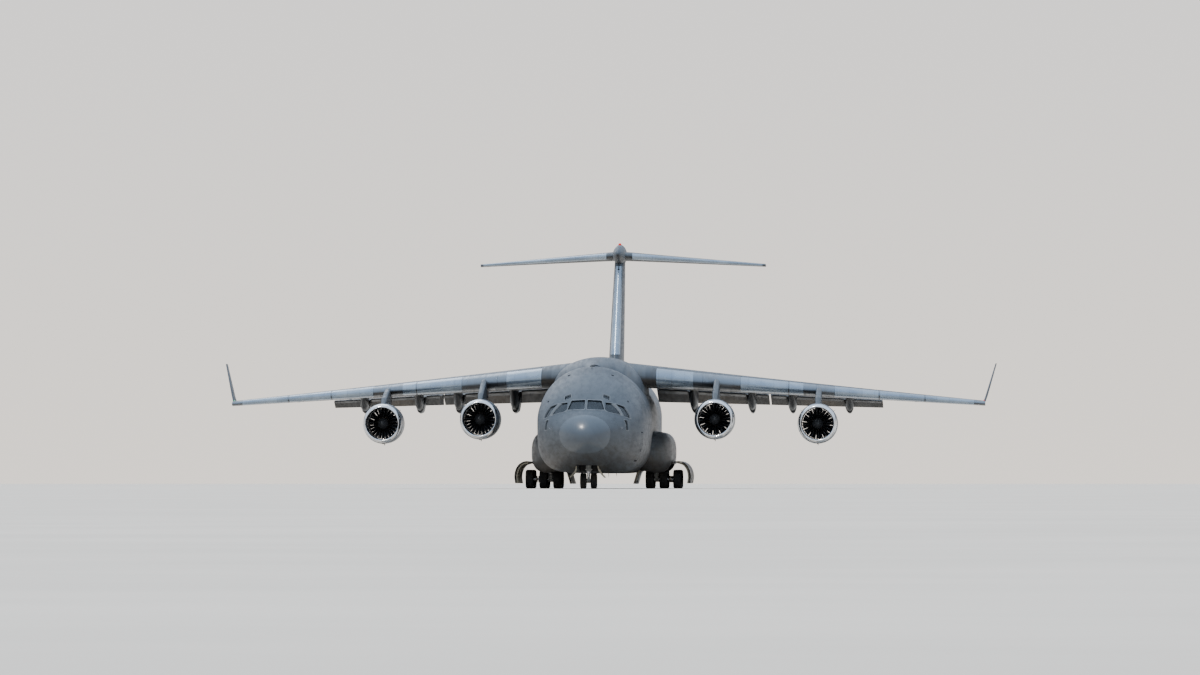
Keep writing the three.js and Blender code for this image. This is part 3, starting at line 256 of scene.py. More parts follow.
class Nodes:
    """Short words for building a node material."""

    def __init__(self, name):
        self.material = bpy.data.materials.new(name)
        self.material.use_nodes = True
        self.tree = self.material.node_tree
        self.shader = self.tree.nodes["Principled BSDF"]
        source = self.node("ShaderNodeTexCoord")
        self.place = source.outputs["Object"]
        self.x, self.y, self.z = self.split(self.place)
        self.outward, _, self.up = self.split(source.outputs["Normal"])
        self.ax = self.math("ABSOLUTE", self.x)

    def node(self, kind, **values):
        made = self.tree.nodes.new(kind)
        for key, value in values.items():
            setattr(made, key, value)
        return made

    def link(self, a, b):
        self.tree.links.new(a, b)

    def split(self, vector):
        made = self.node("ShaderNodeSeparateXYZ")
        self.link(vector, made.inputs[0])
        return made.outputs

    def feed(self, socket, value):
        if isinstance(value, bpy.types.NodeSocket):
            self.link(value, socket)
        else:
            socket.default_value = value

    def math(self, kind, a, b=0.0, c=0.0):
        made = self.node("ShaderNodeMath", operation=kind)
        for socket, value in zip(made.inputs, (a, b, c)):
            self.feed(socket, value)
        return made.outputs[0]

    def ramp(self, value, low, high, to_low=0.0, to_high=1.0):
        made = self.node("ShaderNodeMapRange", interpolation_type="SMOOTHSTEP")
        for socket, number in zip(made.inputs, (value, low, high, to_low, to_high)):
            self.feed(socket, number)
        return made.outputs[0]

    def noise(self, scale, detail=4.0, rough=0.55, stretch=None, seed=0.0):
        made = self.node("ShaderNodeTexNoise")
        made.inputs["Scale"].default_value = scale
        made.inputs["Detail"].default_value = detail
        made.inputs["Roughness"].default_value = rough
        mapping = self.node("ShaderNodeMapping")
        mapping.inputs["Location"].default_value = (seed, seed * 1.7, seed * 0.6)
        mapping.inputs["Scale"].default_value = stretch or (1, 1, 1)
        self.link(self.place, mapping.inputs[0])
        self.link(mapping.outputs[0], made.inputs["Vector"])
        return made.outputs["Fac"]

    def mix(self, amount, a, b):
        made = self.node("ShaderNodeMix", data_type="RGBA", blend_type="MIX")
        for socket, value in ((made.inputs[0], amount), (made.inputs[6], a), (made.inputs[7], b)):
            if isinstance(value, tuple) and len(value) == 3:
                value = (*value, 1.0)
            self.feed(socket, value)
        return made.outputs[2]

    def over(self, color, tone, amount, share):
        """A tone laid over a color where the amount says, up to a share."""
        return self.mix(self.math("MULTIPLY", amount, share), color, tone)

    def panel(self, a, step_a, b, step_b, offset_a=0.0, offset_b=0.0):
        """A chance number for each panel of a grid over two values."""
        cell = self.node("ShaderNodeCombineXYZ")
        for socket, value, step, offset in ((cell.inputs[0], a, step_a, offset_a),
                                            (cell.inputs[1], b, step_b, offset_b)):
            self.link(self.math("FLOOR", self.math("DIVIDE", self.math("ADD", value, offset), step)),
                      socket)
        made = self.node("ShaderNodeTexWhiteNoise", noise_dimensions="2D")
        self.link(cell.outputs[0], made.inputs["Vector"])
        return made.outputs["Value"]

    def line_every(self, value, step, width, offset=0.0):
        """1 on thin lines that repeat every step along a value."""
        part = self.math("PINGPONG", self.math("ADD", value, offset), step / 2)
        return self.math("LESS_THAN", part, width / 2)

    def outline(self, a, a0, a1, b, b0, b1, width):
        """1 on the rim of a rectangle over two values."""
        outer = self.both(self.inside(a, a0, a1), self.inside(b, b0, b1))
        inner = self.both(self.inside(a, a0 + width, a1 - width), self.inside(b, b0 + width, b1 - width))
        return self.math("SUBTRACT", outer, inner)

    def line_at(self, value, place, width):
        return self.math("COMPARE", value, place, width / 2)

    def inside(self, value, low, high):
        return self.math("MULTIPLY", self.math("GREATER_THAN", value, low),
                         self.math("LESS_THAN", value, high))

    def both(self, *values):
        result = values[0]
        for value in values[1:]:
            result = self.math("MULTIPLY", result, value)
        return result

    def either(self, *values):
        result = values[0]
        for value in values[1:]:
            result = self.math("MAXIMUM", result, value)
        return result

    def bump(self, height, strength=0.3, distance=0.01):
        made = self.node("ShaderNodeBump")
        made.inputs["Strength"].default_value = strength
        made.inputs["Distance"].default_value = distance
        self.link(height, made.inputs["Height"])
        self.link(made.outputs[0], self.shader.inputs["Normal"])

    def seams(self, fine, grain, lines, strength=0.3, distance=0.004):
        """Sunken lines in a finely grained surface."""
        self.bump(self.math("SUBTRACT", self.math("MULTIPLY", fine, grain), lines), strength, distance)

    def finish(self, color, roughness=0.5, metallic=0.0, coat=0.0, shine=0.24):
        self.feed(self.shader.inputs["Base Color"], (*color, 1.0) if isinstance(color, tuple) else color)
        self.feed(self.shader.inputs["Roughness"], roughness)
        self.feed(self.shader.inputs["Metallic"], metallic)
        self.shader.inputs["Coat Weight"].default_value = coat
        self.shader.inputs["Specular IOR Level"].default_value = shine
        return self.material


# The plane's tones (linear): paint, faded paint, dark streaks, belly soil with painted shade, seams, lining,
# dust with painted shade
PAINT = (0.044, 0.055, 0.068)
PAINT_LIGHT = (0.066, 0.079, 0.094)
PAINT_DARK = (0.023, 0.028, 0.035)
SOIL_AND_SHADE = (0.036, 0.028, 0.019)
SEAM = (0.011, 0.013, 0.016)
LINING = (0.24, 0.26, 0.245)
DUST_AND_SHADE = (0.031, 0.024, 0.017)
# Closed hatches drawn on the hull (half-size frame): aft from, aft to, up from, up to, width of the seam
HATCHES = ((4.25, 4.80, 0.98, 1.96, 0.014), (-8.35, -7.95, 2.05, 2.45, 0.012),
           (-4.9, -4.2, 0.95, 1.35, 0.012))
# Distance between the wing's ribs, and its spanwise seams as shares of the chord with their widths
RIB_STEP = 1.22
SPARS = ((0.12, 0.0035), (0.36, 0.0025), (0.60, 0.0025), (0.745, 0.004))


def shade(tone, factor):
    return tuple(v * factor for v in tone)


def weathered(n, base=PAINT, light=PAINT_LIGHT, streak=(2.2, 0.35, 2.2), dark=PAINT_DARK):
    """Base paint with patchy fading, dark streaks along the airflow and a fine light grain."""
    patches = n.noise(0.9, 3.0, 0.5, seed=1.3)
    streaks = n.noise(3.2, 5.0, 0.6, stretch=streak, seed=4.1)
    fine = n.noise(26.0, 3.0, 0.6, seed=2.2)
    color = n.mix(n.ramp(patches, 0.35, 0.7, 0.0, 0.4), base, light)
    color = n.over(color, dark, n.ramp(streaks, 0.48, 0.78), 0.24)
    color = n.over(color, light, n.ramp(fine, 0.5, 0.8), 0.10)
    return color, streaks, fine


def panel_tints(n, color, chance, amount=0.34):
    """Panels that have faded a little more or less than their neighbours."""
    color = n.over(color, PAINT_LIGHT, n.ramp(chance, 0.55, 0.95), amount)
    return n.over(color, PAINT_DARK, n.ramp(chance, 0.42, 0.05), amount)


def dust_and_shade_below(n, color, amount=0.6):
    """Warm dust and painted shade on every surface that faces the ground, darker the more it faces down."""
    cover = n.math("MULTIPLY", n.ramp(n.up, 0.05, -0.6),
                   n.ramp(n.noise(1.1, 4.0, 0.6, seed=11.0), 0.2, 0.7, 0.55, 1.0))
    return n.over(color, DUST_AND_SHADE, cover, amount)


def belly_soil_and_shade(n, color, streaks):
    """Brown soil film with painted shade, thickening towards the ground."""
    film = n.math("MULTIPLY", n.ramp(n.z, 2.3, 0.6), n.ramp(streaks, 0.2, 0.75, 0.45, 1.0))
    return n.over(color, SOIL_AND_SHADE, film, 0.75)


def fuselage_paint():
    n = Nodes("fuselage_paint")
    color, streaks, fine = weathered(n)
    girth = n.math("ARCTAN2", n.math("SUBTRACT", n.z, HULL_AXIS), n.ax)
    color = panel_tints(n, color, n.panel(n.y, 1.84, girth, 0.36, 0.21, 0.25))
    # Lower hull darker towards the ground: soil and painted shade
    color = belly_soil_and_shade(n, color, streaks)
    frames = n.line_every(n.y, 0.92, 0.010, 0.21)
    rivet_rings = n.line_every(n.y, 0.46, 0.004, 0.1)
    stringers = n.line_every(girth, 0.36, 0.0045, 0.07)
    radome = n.math("LESS_THAN", n.y, RADOME_END)
    hatches = n.either(*[n.outline(n.y, y0, y1, n.z, z0, z1, width) for y0, y1, z0, z1, width in HATCHES])
    behind_radome = n.math("SUBTRACT", 1.0, radome)
    lines = n.both(n.either(frames, stringers), behind_radome)
    lines = n.either(lines, n.line_at(n.y, RADOME_END, 0.012), hatches)
    color = n.over(color, SEAM, lines, 0.62)
    rivets = n.both(rivet_rings, n.line_every(girth, 0.03, 0.012), behind_radome)
    color = n.over(color, SEAM, rivets, 0.2)
    # Radome lighter and bluer: painted sky reflection
    color = n.over(color, (0.053, 0.071, 0.093), radome, 0.35)
    walkway = n.both(n.math("GREATER_THAN", n.z, WALKWAY), n.math("LESS_THAN", n.ax, 0.35))
    color = n.over(color, (0.03, 0.033, 0.037), walkway, 0.3)
    height = n.math("SUBTRACT", n.z, HULL_AXIS)
    facing = n.math("ADD", n.math("MULTIPLY", n.outward, n.x), n.math("MULTIPLY", n.up, height))
    color = n.mix(n.ramp(facing, -0.3, -0.7), color, LINING)
    n.seams(fine, 0.12, lines, 0.35, 0.004)
    rough = n.math("ADD", n.ramp(streaks, 0.3, 0.8, 0.46, 0.62), n.math("MULTIPLY", radome, -0.12))
    material = n.finish(color, rough)
    n.link(n.math("MULTIPLY", radome, 0.35), n.shader.inputs["Coat Weight"])
    n.shader.inputs["Coat Roughness"].default_value = 0.22
    return material


def wing_paint():
    """Panels follow the wing's chord lines: ribs across, spars along."""
    n = Nodes("wing_paint")
    color, streaks, fine = weathered(n, streak=(2.6, 0.3, 1.0))
    lead = n.math("MULTIPLY_ADD", n.ax, LEAD_SLOPE, (WING["lead"] - LENGTH / 2) * SCALE)
    chord = n.math("MULTIPLY_ADD", n.ax, TRAIL_SLOPE - LEAD_SLOPE, WING["chord"] * SCALE)
    part = n.math("DIVIDE", n.math("SUBTRACT", n.y, lead), chord)
    ribs = n.both(n.line_every(n.ax, RIB_STEP, 0.010, 0.3), n.inside(part, 0.10, 0.92))
    slat_ribs = n.both(n.line_every(n.ax, RIB_STEP, 0.014, 0.3), n.math("LESS_THAN", part, 0.12))
    spars = n.either(*[n.line_at(part, place, width) for place, width in SPARS])
    lines = n.either(ribs, slat_ribs, spars)
    color = panel_tints(n, color, n.panel(n.ax, RIB_STEP, part, 0.24, 0.91, 0.12))
    # Leading edge band lighter and bluer: bare slat metal with painted sky reflection
    slat = n.both(n.math("LESS_THAN", part, 0.115), n.math("GREATER_THAN", n.ax, 2.1))
    color = n.over(color, (0.17, 0.21, 0.26), slat, 0.6)
    under = n.ramp(n.noise(1.6, 4.0, 0.6, stretch=(3.0, 0.5, 1.0), seed=6.0), 0.45, 0.75)
    color = n.over(color, (0.085, 0.067, 0.047), under, 0.25)
    # Undersides darkened: dust and painted shade
    color = dust_and_shade_below(n, color, 0.85)
    color = n.over(color, SEAM, lines, 0.6)
    n.seams(fine, 0.1, lines, 0.35, 0.004)
    metal = n.math("MULTIPLY", slat, 0.35)
    rough = n.math("SUBTRACT", n.ramp(streaks, 0.3, 0.8, 0.44, 0.60), n.math("MULTIPLY", slat, 0.18))
    return n.finish(color, rough, metal)


def flap_paint():
    """Grey flaps darkened as painted shade, with bronze heat tint behind each engine."""
    n = Nodes("flap_paint")
    # Flap base well below the paint's tone: painted shade of the flaps' undersides
    color, streaks, fine = weathered(n, base=(0.024, 0.026, 0.028), light=(0.036, 0.038, 0.040),
                                     streak=(2.6, 0.3, 1.0))
    glows = []
    for place in ENGINE_SIDES.values():
        off = n.math("ABSOLUTE", n.math("SUBTRACT", n.ax, place * SCALE))
        glows.append(n.ramp(off, 1.15, 0.25))
    behind = n.either(*glows)
    patch = n.math("MULTIPLY", behind, n.ramp(n.noise(2.4, 4.0, 0.6, seed=3.0), 0.25, 0.65, 0.35, 1.0))
    color = n.over(color, (0.135, 0.092, 0.050), patch, 0.75)
    color = dust_and_shade_below(n, color, 0.6)
    ribs = n.line_every(n.ax, 0.61, 0.009, 0.3)
    color = n.over(color, SEAM, ribs, 0.55)
    n.seams(fine, 0.1, ribs, 0.3, 0.004)
    return n.finish(color, n.ramp(streaks, 0.3, 0.8, 0.50, 0.68))


def tail_paint():
    n = Nodes("tail_paint")
    color, streaks, fine = weathered(n, base=(0.044, 0.055, 0.067), streak=(2.0, 0.35, 1.6))
    lines = n.either(n.line_every(n.z, 0.62, 0.009, 0.2), n.both(n.line_every(n.ax, 0.8, 0.010, 0.1),
                     n.math("GREATER_THAN", n.z, 7.6)))
    color = panel_tints(n, color, n.panel(n.math("ADD", n.z, n.ax), 0.62, n.y, 0.9, 0.2), 0.25)
    color = dust_and_shade_below(n, color, 0.7)
    color = n.over(color, SEAM, lines, 0.5)
    n.seams(fine, 0.1, lines, 0.3, 0.004)
    return n.finish(color, n.ramp(streaks, 0.3, 0.8, 0.44, 0.60))


def plain_paint(name, base, metallic=0.0, rough=(0.35, 0.55), soil=0.0, scale=1.0):
    n = Nodes(name)
    patches = n.noise(2.4 * scale, 4.0, 0.55, seed=1.0)
    fine = n.noise(34.0 * scale, 4.0, 0.6, seed=5.0)
    color = n.mix(n.ramp(patches, 0.35, 0.7), base, shade(base, 1.25))
    color = n.over(color, shade(base, 0.6), n.ramp(fine, 0.52, 0.78), 0.16)
    # The soil amount also sets the dust and painted shade on faces that look down
    if soil:
        color = n.over(color, SOIL_AND_SHADE, n.ramp(patches, 0.4, 0.7), soil)
        color = dust_and_shade_below(n, color, soil)
    n.bump(fine, 0.06, 0.002)
    return n.finish(color, n.ramp(patches, 0.3, 0.7, *rough), metallic)


def panelled_paint(name, base, step=0.61, rise=0.40, soil=0.4):
    """Painted shells of the gear pods and doors: plates along and up, dirt drawn out along the airflow."""
    n = Nodes(name)
    dark = shade(base, 0.6)
    color, streaks, fine = weathered(n, base, shade(base, 1.3), (2.0, 0.3, 2.0), dark)
    tint = n.panel(n.y, step, n.z, rise, 0.12, 0.07)
    color = n.over(color, shade(base, 1.35), n.ramp(tint, 0.5, 0.95), 0.3)
    color = n.over(color, SOIL_AND_SHADE, n.ramp(streaks, 0.35, 0.7), soil)
    color = dust_and_shade_below(n, color, 0.6)
    lines = n.either(n.line_every(n.y, step, 0.008, 0.12), n.line_every(n.z, rise, 0.007, 0.07))
    rivets = n.both(n.either(n.line_every(n.y, step, 0.05, 0.12), n.line_every(n.z, rise, 0.05, 0.07)),
                    n.line_every(n.math("ADD", n.y, n.z), 0.04, 0.008))
    color = n.over(color, SEAM, rivets, 0.25)
    color = n.over(color, SEAM, lines, 0.6)
    n.seams(fine, 0.08, lines, 0.3, 0.003)
    return n.finish(color, n.ramp(streaks, 0.3, 0.8, 0.44, 0.60))


def bare_metal(name, base=(0.62, 0.64, 0.66), rough=(0.14, 0.30)):
    n = Nodes(name)
    marks = n.noise(7.0, 5.0, 0.65, seed=2.0)
    fine = n.noise(60.0, 3.0, 0.6, seed=8.0)
    color = n.mix(n.ramp(marks, 0.4, 0.72), base, shade(base, 0.72))
    n.bump(fine, 0.08, 0.002)
    return n.finish(color, n.ramp(marks, 0.3, 0.75, *rough), 1.0)


def glass_pane():
    n = Nodes("glass_pane")
    smear = n.noise(5.0, 4.0, 0.6, seed=3.0)
    color = n.mix(n.ramp(smear, 0.4, 0.7), (0.012, 0.016, 0.020), (0.022, 0.028, 0.034))
    material = n.finish(color, n.ramp(smear, 0.4, 0.8, 0.05, 0.14), 0.0, 0.0, 0.16)
    n.shader.inputs["Alpha"].default_value = 0.75
    return material


def rubber():
    n = Nodes("rubber")
    fine = n.noise(48.0, 4.0, 0.65, seed=1.0)
    dust = n.noise(3.0, 4.0, 0.6, seed=7.0)
    color = n.mix(n.ramp(fine, 0.35, 0.75), (0.012, 0.012, 0.013), (0.028, 0.027, 0.026))
    color = n.over(color, (0.10, 0.085, 0.065), n.ramp(dust, 0.45, 0.75), 0.35)
    n.bump(fine, 0.25, 0.004)
    return n.finish(color, n.ramp(dust, 0.3, 0.7, 0.65, 0.9))


def lamp_glass(name, color, strength):
    n = Nodes(name)
    glow = n.noise(30.0, 2.0, 0.5)
    tint = n.mix(n.ramp(glow, 0.3, 0.7), color, shade(color, 0.8))
    n.link(tint, n.shader.inputs["Emission Color"])
    n.shader.inputs["Emission Strength"].default_value = strength
    return n.finish(tint, 0.08)


def slat_paint():
    """Leading edge panels: bare metal tinted blue as a painted sky reflection, each panel lighter or darker
    as painted shade.
    """
    n = Nodes("slat_paint")
    marks = n.noise(2.2, 5.0, 0.6, stretch=(0.35, 1.0, 1.0), seed=9.0)
    fine = n.noise(30.0, 4.0, 0.6, seed=5.0)
    # Panel to panel darkening: painted shading of the slats' different angles
    panel = n.math("FRACT", n.math("MULTIPLY", n.math("FLOOR", n.math("MULTIPLY", n.ax, 0.82)), 0.618))
    color = n.mix(n.ramp(marks, 0.35, 0.7), (0.20, 0.25, 0.31), (0.28, 0.335, 0.39))
    color = n.over(color, (0.12, 0.15, 0.19), panel, 0.45)
    color = n.over(color, SEAM, n.line_every(n.ax, 0.41, 0.006, 0.1), 0.5)
    n.bump(fine, 0.12, 0.003)
    return n.finish(color, n.ramp(marks, 0.3, 0.75, 0.20, 0.36), 0.6, 0.1)


PAINTS = {
    "slat": slat_paint(),
    "fuselage": fuselage_paint(),
    "wing": wing_paint(),
    "flap": flap_paint(),
    "tail": tail_paint(),
    "cowl": plain_paint("cowl_paint", (0.055, 0.066, 0.079), rough=(0.28, 0.45), soil=0.3),
    "pylon": plain_paint("pylon_paint", (0.042, 0.049, 0.057)),
    "canoe": plain_paint("canoe_paint", (0.026, 0.029, 0.034), soil=0.3),
    "pod": panelled_paint("pod_paint", (0.044, 0.048, 0.051)),
    "pod_brown": panelled_paint("outer_door_paint", (0.062, 0.052, 0.040), 0.9, 0.5, 0.3),
    "cream": plain_paint("cream_lining", (0.40, 0.365, 0.28), soil=0.12, scale=2.0),
    "gear": plain_paint("gear_paint", (0.40, 0.40, 0.38), soil=0.25, scale=3.0, rough=(0.3, 0.5)),
    # Black parts such as wicks and hoses, and dark discs as painted shade in holes and the porthole
    "dark": plain_paint("dark_recess", (0.018, 0.019, 0.021), rough=(0.6, 0.8)),
    "cabin": plain_paint("cabin_lining", (0.26, 0.28, 0.265), scale=2.0, rough=(0.55, 0.75)),
    "seat": plain_paint("seat_cloth", (0.035, 0.045, 0.055), scale=4.0, rough=(0.75, 0.9)),
    "floor_metal": plain_paint("floor_plate", (0.20, 0.21, 0.215), metallic=0.4, scale=2.0),
    "liner": plain_paint("inlet_liner", (0.055, 0.058, 0.062), rough=(0.4, 0.6)),
    "lip": bare_metal("bare_lip", (0.70, 0.71, 0.72), (0.10, 0.24)),
    "steel": bare_metal("bright_steel", (0.55, 0.56, 0.58), (0.16, 0.34)),
    # Fan blades darker than bare metal: painted shade inside the inlet
    "fan": bare_metal("fan_metal", (0.085, 0.088, 0.095), (0.28, 0.45)),
    "hot": bare_metal("hot_metal", (0.20, 0.16, 0.125), (0.32, 0.5)),
    "frame": plain_paint("window_frame", (0.072, 0.082, 0.093), scale=2.0),
    "glass": glass_pane(),
    "rubber": rubber(),
    "lamp": lamp_glass("lamp_glass", (1.0, 0.98, 0.93), 2.6),
    "red_light": lamp_glass("red_glass", (0.55, 0.02, 0.015), 0.6),
    "green_light": lamp_glass("green_glass", (0.02, 0.35, 0.10), 0.6),
    "amber_light": lamp_glass("amber_glass", (0.9, 0.45, 0.06), 0.9),
}


# Fuselage

WALL = 0.22
NOSE_END, CENTER_END = 11.0, 33.4
HOLLOW_START, HOLLOW_END = 1.5, 46.8
GAP = 0.001
# station, half_width, top, bottom, widest_height, belly_power
FUSELAGE = [[0.00, 0.02, 3.30, 3.26, 3.28, 2.0],
            [0.02, 0.20, 3.46, 3.11, 3.285, 2.0],
            [0.06, 0.35, 3.59, 2.99, 3.30, 2.0],
            [0.14, 0.54, 3.76, 2.86, 3.32, 2.0],
            [0.50, 1.00, 4.18, 2.62, 3.40, 2.1],
            [1.10, 1.50, 4.58, 2.30, 3.50, 2.3],
            [2.10, 2.08, 4.97, 1.94, 3.60, 2.5],
            [3.30, 2.60, 5.64, 1.58, 3.75, 2.8],
            [4.60, 2.98, 6.30, 1.32, 3.95, 3.1],
            [6.20, 3.25, 6.88, 1.14, 4.15, 3.5],
            [8.20, 3.40, 7.42, 1.04, 4.35, 3.9],
            [11.0, 3.43, 7.86, 1.00, 4.50, 4.2],
            [33.4, 3.43, 7.92, 1.00, 4.50, 4.2],
            [36.0, 3.36, 7.92, 1.76, 4.75, 4.0],
            [39.4, 3.02, 7.90, 2.96, 5.30, 3.8],
            [42.5, 2.45, 7.85, 4.08, 5.95, 3.4],
            [45.5, 1.72, 7.75, 5.20, 6.50, 3.0],
            [47.5, 1.05, 7.62, 5.98, 6.85, 2.6],
            [48.5, 0.42, 7.36, 6.50, 6.95, 2.2]]


def fuselage_ring(station, inset=0.0, sides=96):
    """One ring of the hull, moved inwards."""
    width, top, bottom, middle, power = smooth_table(FUSELAGE, station)[0]
    ring = []
    for angle in round_angles(sides):
        c, s = math.cos(angle), math.sin(angle)
        shape = power if s < 0 else 2
        reach = (middle - bottom if s < 0 else top - middle) - inset
        ring.append((
            max(width - inset, 0.004) * math.copysign(abs(c) ** (2 / shape), c),
            station,
            middle + max(reach, 0.004) * math.copysign(abs(s) ** (2 / shape), s),
        ))
    return ring


def stations_between(start, end, step):
    fine = [0.0, 0.008, 0.02, 0.04, 0.08, 0.14, 0.22, 0.33, 0.5, 0.7, 0.9, 1.15, 1.4, 1.7]
    inner = [s for s in [*fine, *np.arange(2.0, 48.5, step)] if start + 0.004 < s < end - 0.004]
    return [start, *inner, end]


def hull(start, end, inset=0.0, step=0.45, sides=96):
    """A closed length of the hull's outside, moved inwards."""
    return loft([fuselage_ring(s, inset, sides) for s in stations_between(start, end, step)])


def hollow(start, end, inset):
    """A coarser length of the hull's inside."""
    return hull(start, end, inset, 0.9, 64)


def hull_shell(start, end, hollow_start, hollow_end):
    """A length of the hull's wall."""
    return boolean(hull(start, end), [hollow(hollow_start, hollow_end, WALL)])


def grown(outline, by):
    """An outline with every edge moved outwards."""
    points = [Vector(p) for p in outline]
    area = sum(a.x * b.y - b.x * a.y for a, b in zip(points, points[1:] + points[:1]))
    if area < 0:
        points.reverse()
    result = []
    for i, p in enumerate(points):
        a, b = points[i - 1], points[(i + 1) % len(points)]
        before, after = (p - a).normalized(), (b - p).normalized()
        n0, n1 = Vector((before.y, -before.x)), Vector((after.y, -after.x))
        result.append(p + (n0 + n1) * (by / (1 + n0.dot(n1))))
    return [(p.x, p.y) for p in result]


def rounded(outline, radius, steps=4):
    """An outline with its corners rounded off."""
    points = [Vector(p) for p in outline]
    result = []
    for i, p in enumerate(points):
        a, b = points[i - 1], points[(i + 1) % len(points)]
        start = p + (a - p).normalized() * radius
        end = p + (b - p).normalized() * radius
        for t in np.linspace(0, 1, steps + 1):
            q = start * (1 - t) ** 2 + p * 2 * t * (1 - t) + end * t**2
            result.append((q.x, q.y))
    return result


# Flight deck windows of the port side: view, outline, and the two depths of the cut
WINDOWS = {
    "windscreen": ("front", [[0.07, 5.02], [1.17, 4.98], [0.95, 5.58], [0.07, 5.62]], (1.4, 3.9)),
    "front_side": ("side", [[2.45, 4.86], [3.22, 4.62], [3.62, 5.42], [3.02, 5.50]], (1.2, 3.2)),
    "rear_side": ("side", [[3.34, 4.58], [4.12, 4.42], [4.22, 5.18], [3.74, 5.38]], (1.5, 3.4)),
    "eyebrow": ("top", [[1.02, 3.75], [1.42, 3.75], [1.42, 4.25], [1.02, 4.25]], (5.2, 6.6)),
    "lower": ("side", [[3.05, 3.72], [3.46, 3.68], [3.50, 4.32], [3.12, 4.36]], (1.7, 3.4)),
}


def window_cutter(name, grow=0.0):
    """The body that cuts a port window, a little larger or smaller."""
    view, outline, (near, far) = WINDOWS[name]
    outline = rounded(grown(outline, grow), 0.07 + max(grow, 0) * 0.5)
    if view == "front":
        return front_prism(outline, near, far)
    if view == "side":
        return side_prism(outline, near, far)
    return loft([[(x, y, z) for x, y in outline] for z in (near, far)])


CUTTERS = [window_cutter(name) for name in WINDOWS]
CREW_DOOR = {"start": 6.72, "end": 7.62, "bottom": 1.74, "top": 3.62}
NOSE_BAY = {"start": 3.7, "end": 6.5, "half": 0.62, "top": 2.5, "wall": 0.06}


def crew_block(side, bottom, top):
    """The crew door's box, made smaller by gaps at its sides, bottom and top."""
    return block(
        (2.0, CREW_DOOR["start"] + side, CREW_DOOR["bottom"] + bottom),
        (3.8, CREW_DOOR["end"] - side, CREW_DOOR["top"] - top),
    )


def jack_pad(x, station, low, half=0.16, height=0.2):
    return block((x - half, station - half, low), (x + half, station + half, low + height))


def nose_skin():
    """The nose with the walls of its wheel bay, the openings of windows and crew door, and a jack pad."""
    skin = hull_shell(0, NOSE_END - GAP, HOLLOW_START, NOSE_END + 1)
    start, end, half, top, wall = NOSE_BAY.values()
    walls = boolean(
        block((-half - wall, start - wall, 0.9), (half + wall, end + wall, top + wall)),
        [hollow(HOLLOW_START, NOSE_END, WALL / 2)], "INTERSECT")
    skin = boolean(skin, [walls], "UNION")
    tools = [block((-half, start, 0.5), (half, end, top)), crew_block(0, 0, 0)]
    skin = boolean(skin, tools + CUTTERS + [mirrored(c) for c in CUTTERS])
    return boolean(skin, [jack_pad(0, 8.6, 0.96)], "UNION")


piece("nose_skin", nose_skin(), "airframe", "fuselage", ["nose_section"], sharp=38)
piece("center_skin", hull_shell(NOSE_END, CENTER_END, NOSE_END - 1, CENTER_END + 1), "airframe",
      "fuselage", ["center_fuselage"], sharp=38)

outside = hull(0.3, NOSE_END, -0.012)
frames, panes = [], []
band = boolean(outside, [hull(0.5, NOSE_END + 1, 0.06)])
sheet = boolean(hull(0.3, NOSE_END, 0.07), [hull(0.5, NOSE_END + 1, 0.11)])
for window in WINDOWS:
    rim = boolean(boolean(band, [window_cutter(window, 0.045)], "INTERSECT"),
                  [window_cutter(window, -0.004)])
    pane = boolean(sheet, [window_cutter(window, -0.003)], "INTERSECT")
    frames += [rim, mirrored(rim)]
    panes += [pane, mirrored(pane)]
piece("window_frames", joined(*frames), "airframe", "frame")
piece("window_panes", joined(*panes), "airframe", "glass", ["flight_deck_glass"])


def surface_point(station, angle):
    """A point on the hull at an angle from port, counted upwards, with the outward direction."""
    ring = fuselage_ring(station, 0.0, 360)
    index = int(round(math.degrees(angle))) % 360
    before, after = Vector(ring[index - 1]), Vector(ring[(index + 1) % 360])
    along = Vector(fuselage_ring(station + 0.05, 0.0, 360)[index]) - Vector(ring[index])
    normal = (after - before).cross(along).normalized()
    place = Vector(ring[index])
    if normal.dot(place - Vector((0, station, 4.2))) < 0:
        normal.negate()
    return place, normal


def blade_antenna(station, angle, height, chord=0.34, thick=0.035):
    """A swept blade standing on the hull."""
    place, normal = surface_point(station, angle)
    aft = Vector((0, 1, 0))
    across = normal.cross(aft).normalized()
    rings = []
    for t, size in ((-0.15, 1.0), (0.6, 0.72), (1.0, 0.45)):
        centre = place + normal * height * t + aft * height * 0.55 * t
        rings.append([
            centre + aft * chord * size * u + across * thick * size * v
            for u, v in ((-0.5, 0), (-0.25, 0.5), (0.15, 0.5), (0.5, 0), (0.15, -0.5), (-0.25, -0.5))
        ])
    return loft(rings)


def domed(station, angle, radius, height, sides=16, sink=0.02):
    """A low dome or cap on the hull."""
    place, normal = surface_point(station, angle)
    turn = normal.to_track_quat("Z", "Y")
    rings = []
    for t in np.linspace(0, 1, 5):
        r = radius * math.cos(t * math.pi / 2 * 0.98)
        lift = height * math.sin(t * math.pi / 2) - sink * (t == 0)
        rings.append([place + turn @ p for p in on_circle(r, sides, lift)])
    return loft(rings)


TOP, BELLY = math.pi / 2, -math.pi / 2
# station, angle from port, height
ANTENNAS = [(9.6, TOP, 0.28), (12.4, TOP, 0.24), (35.6, TOP, 0.26), (9.4, BELLY, 0.26), (12.9, BELLY, 0.30),
            (16.2, -1.45, 0.22), (31.2, BELLY, 0.26)]
# station, angle from port, radius, height
DOMES = [(8.6, 1.15, 0.10, 0.05), (8.6, math.pi - 1.15, 0.10, 0.05), (10.6, TOP, 0.17, 0.09),
         (14.2, BELLY, 0.12, 0.07), (5.3, 0.62, 0.07, 0.05), (5.3, math.pi - 0.62, 0.07, 0.05)]
piece("hull_antennas", joined(*[blade_antenna(*row) for row in ANTENNAS]), "airframe", "canoe")
piece("hull_domes", joined(*[domed(*row) for row in DOMES]), "airframe", "dark")


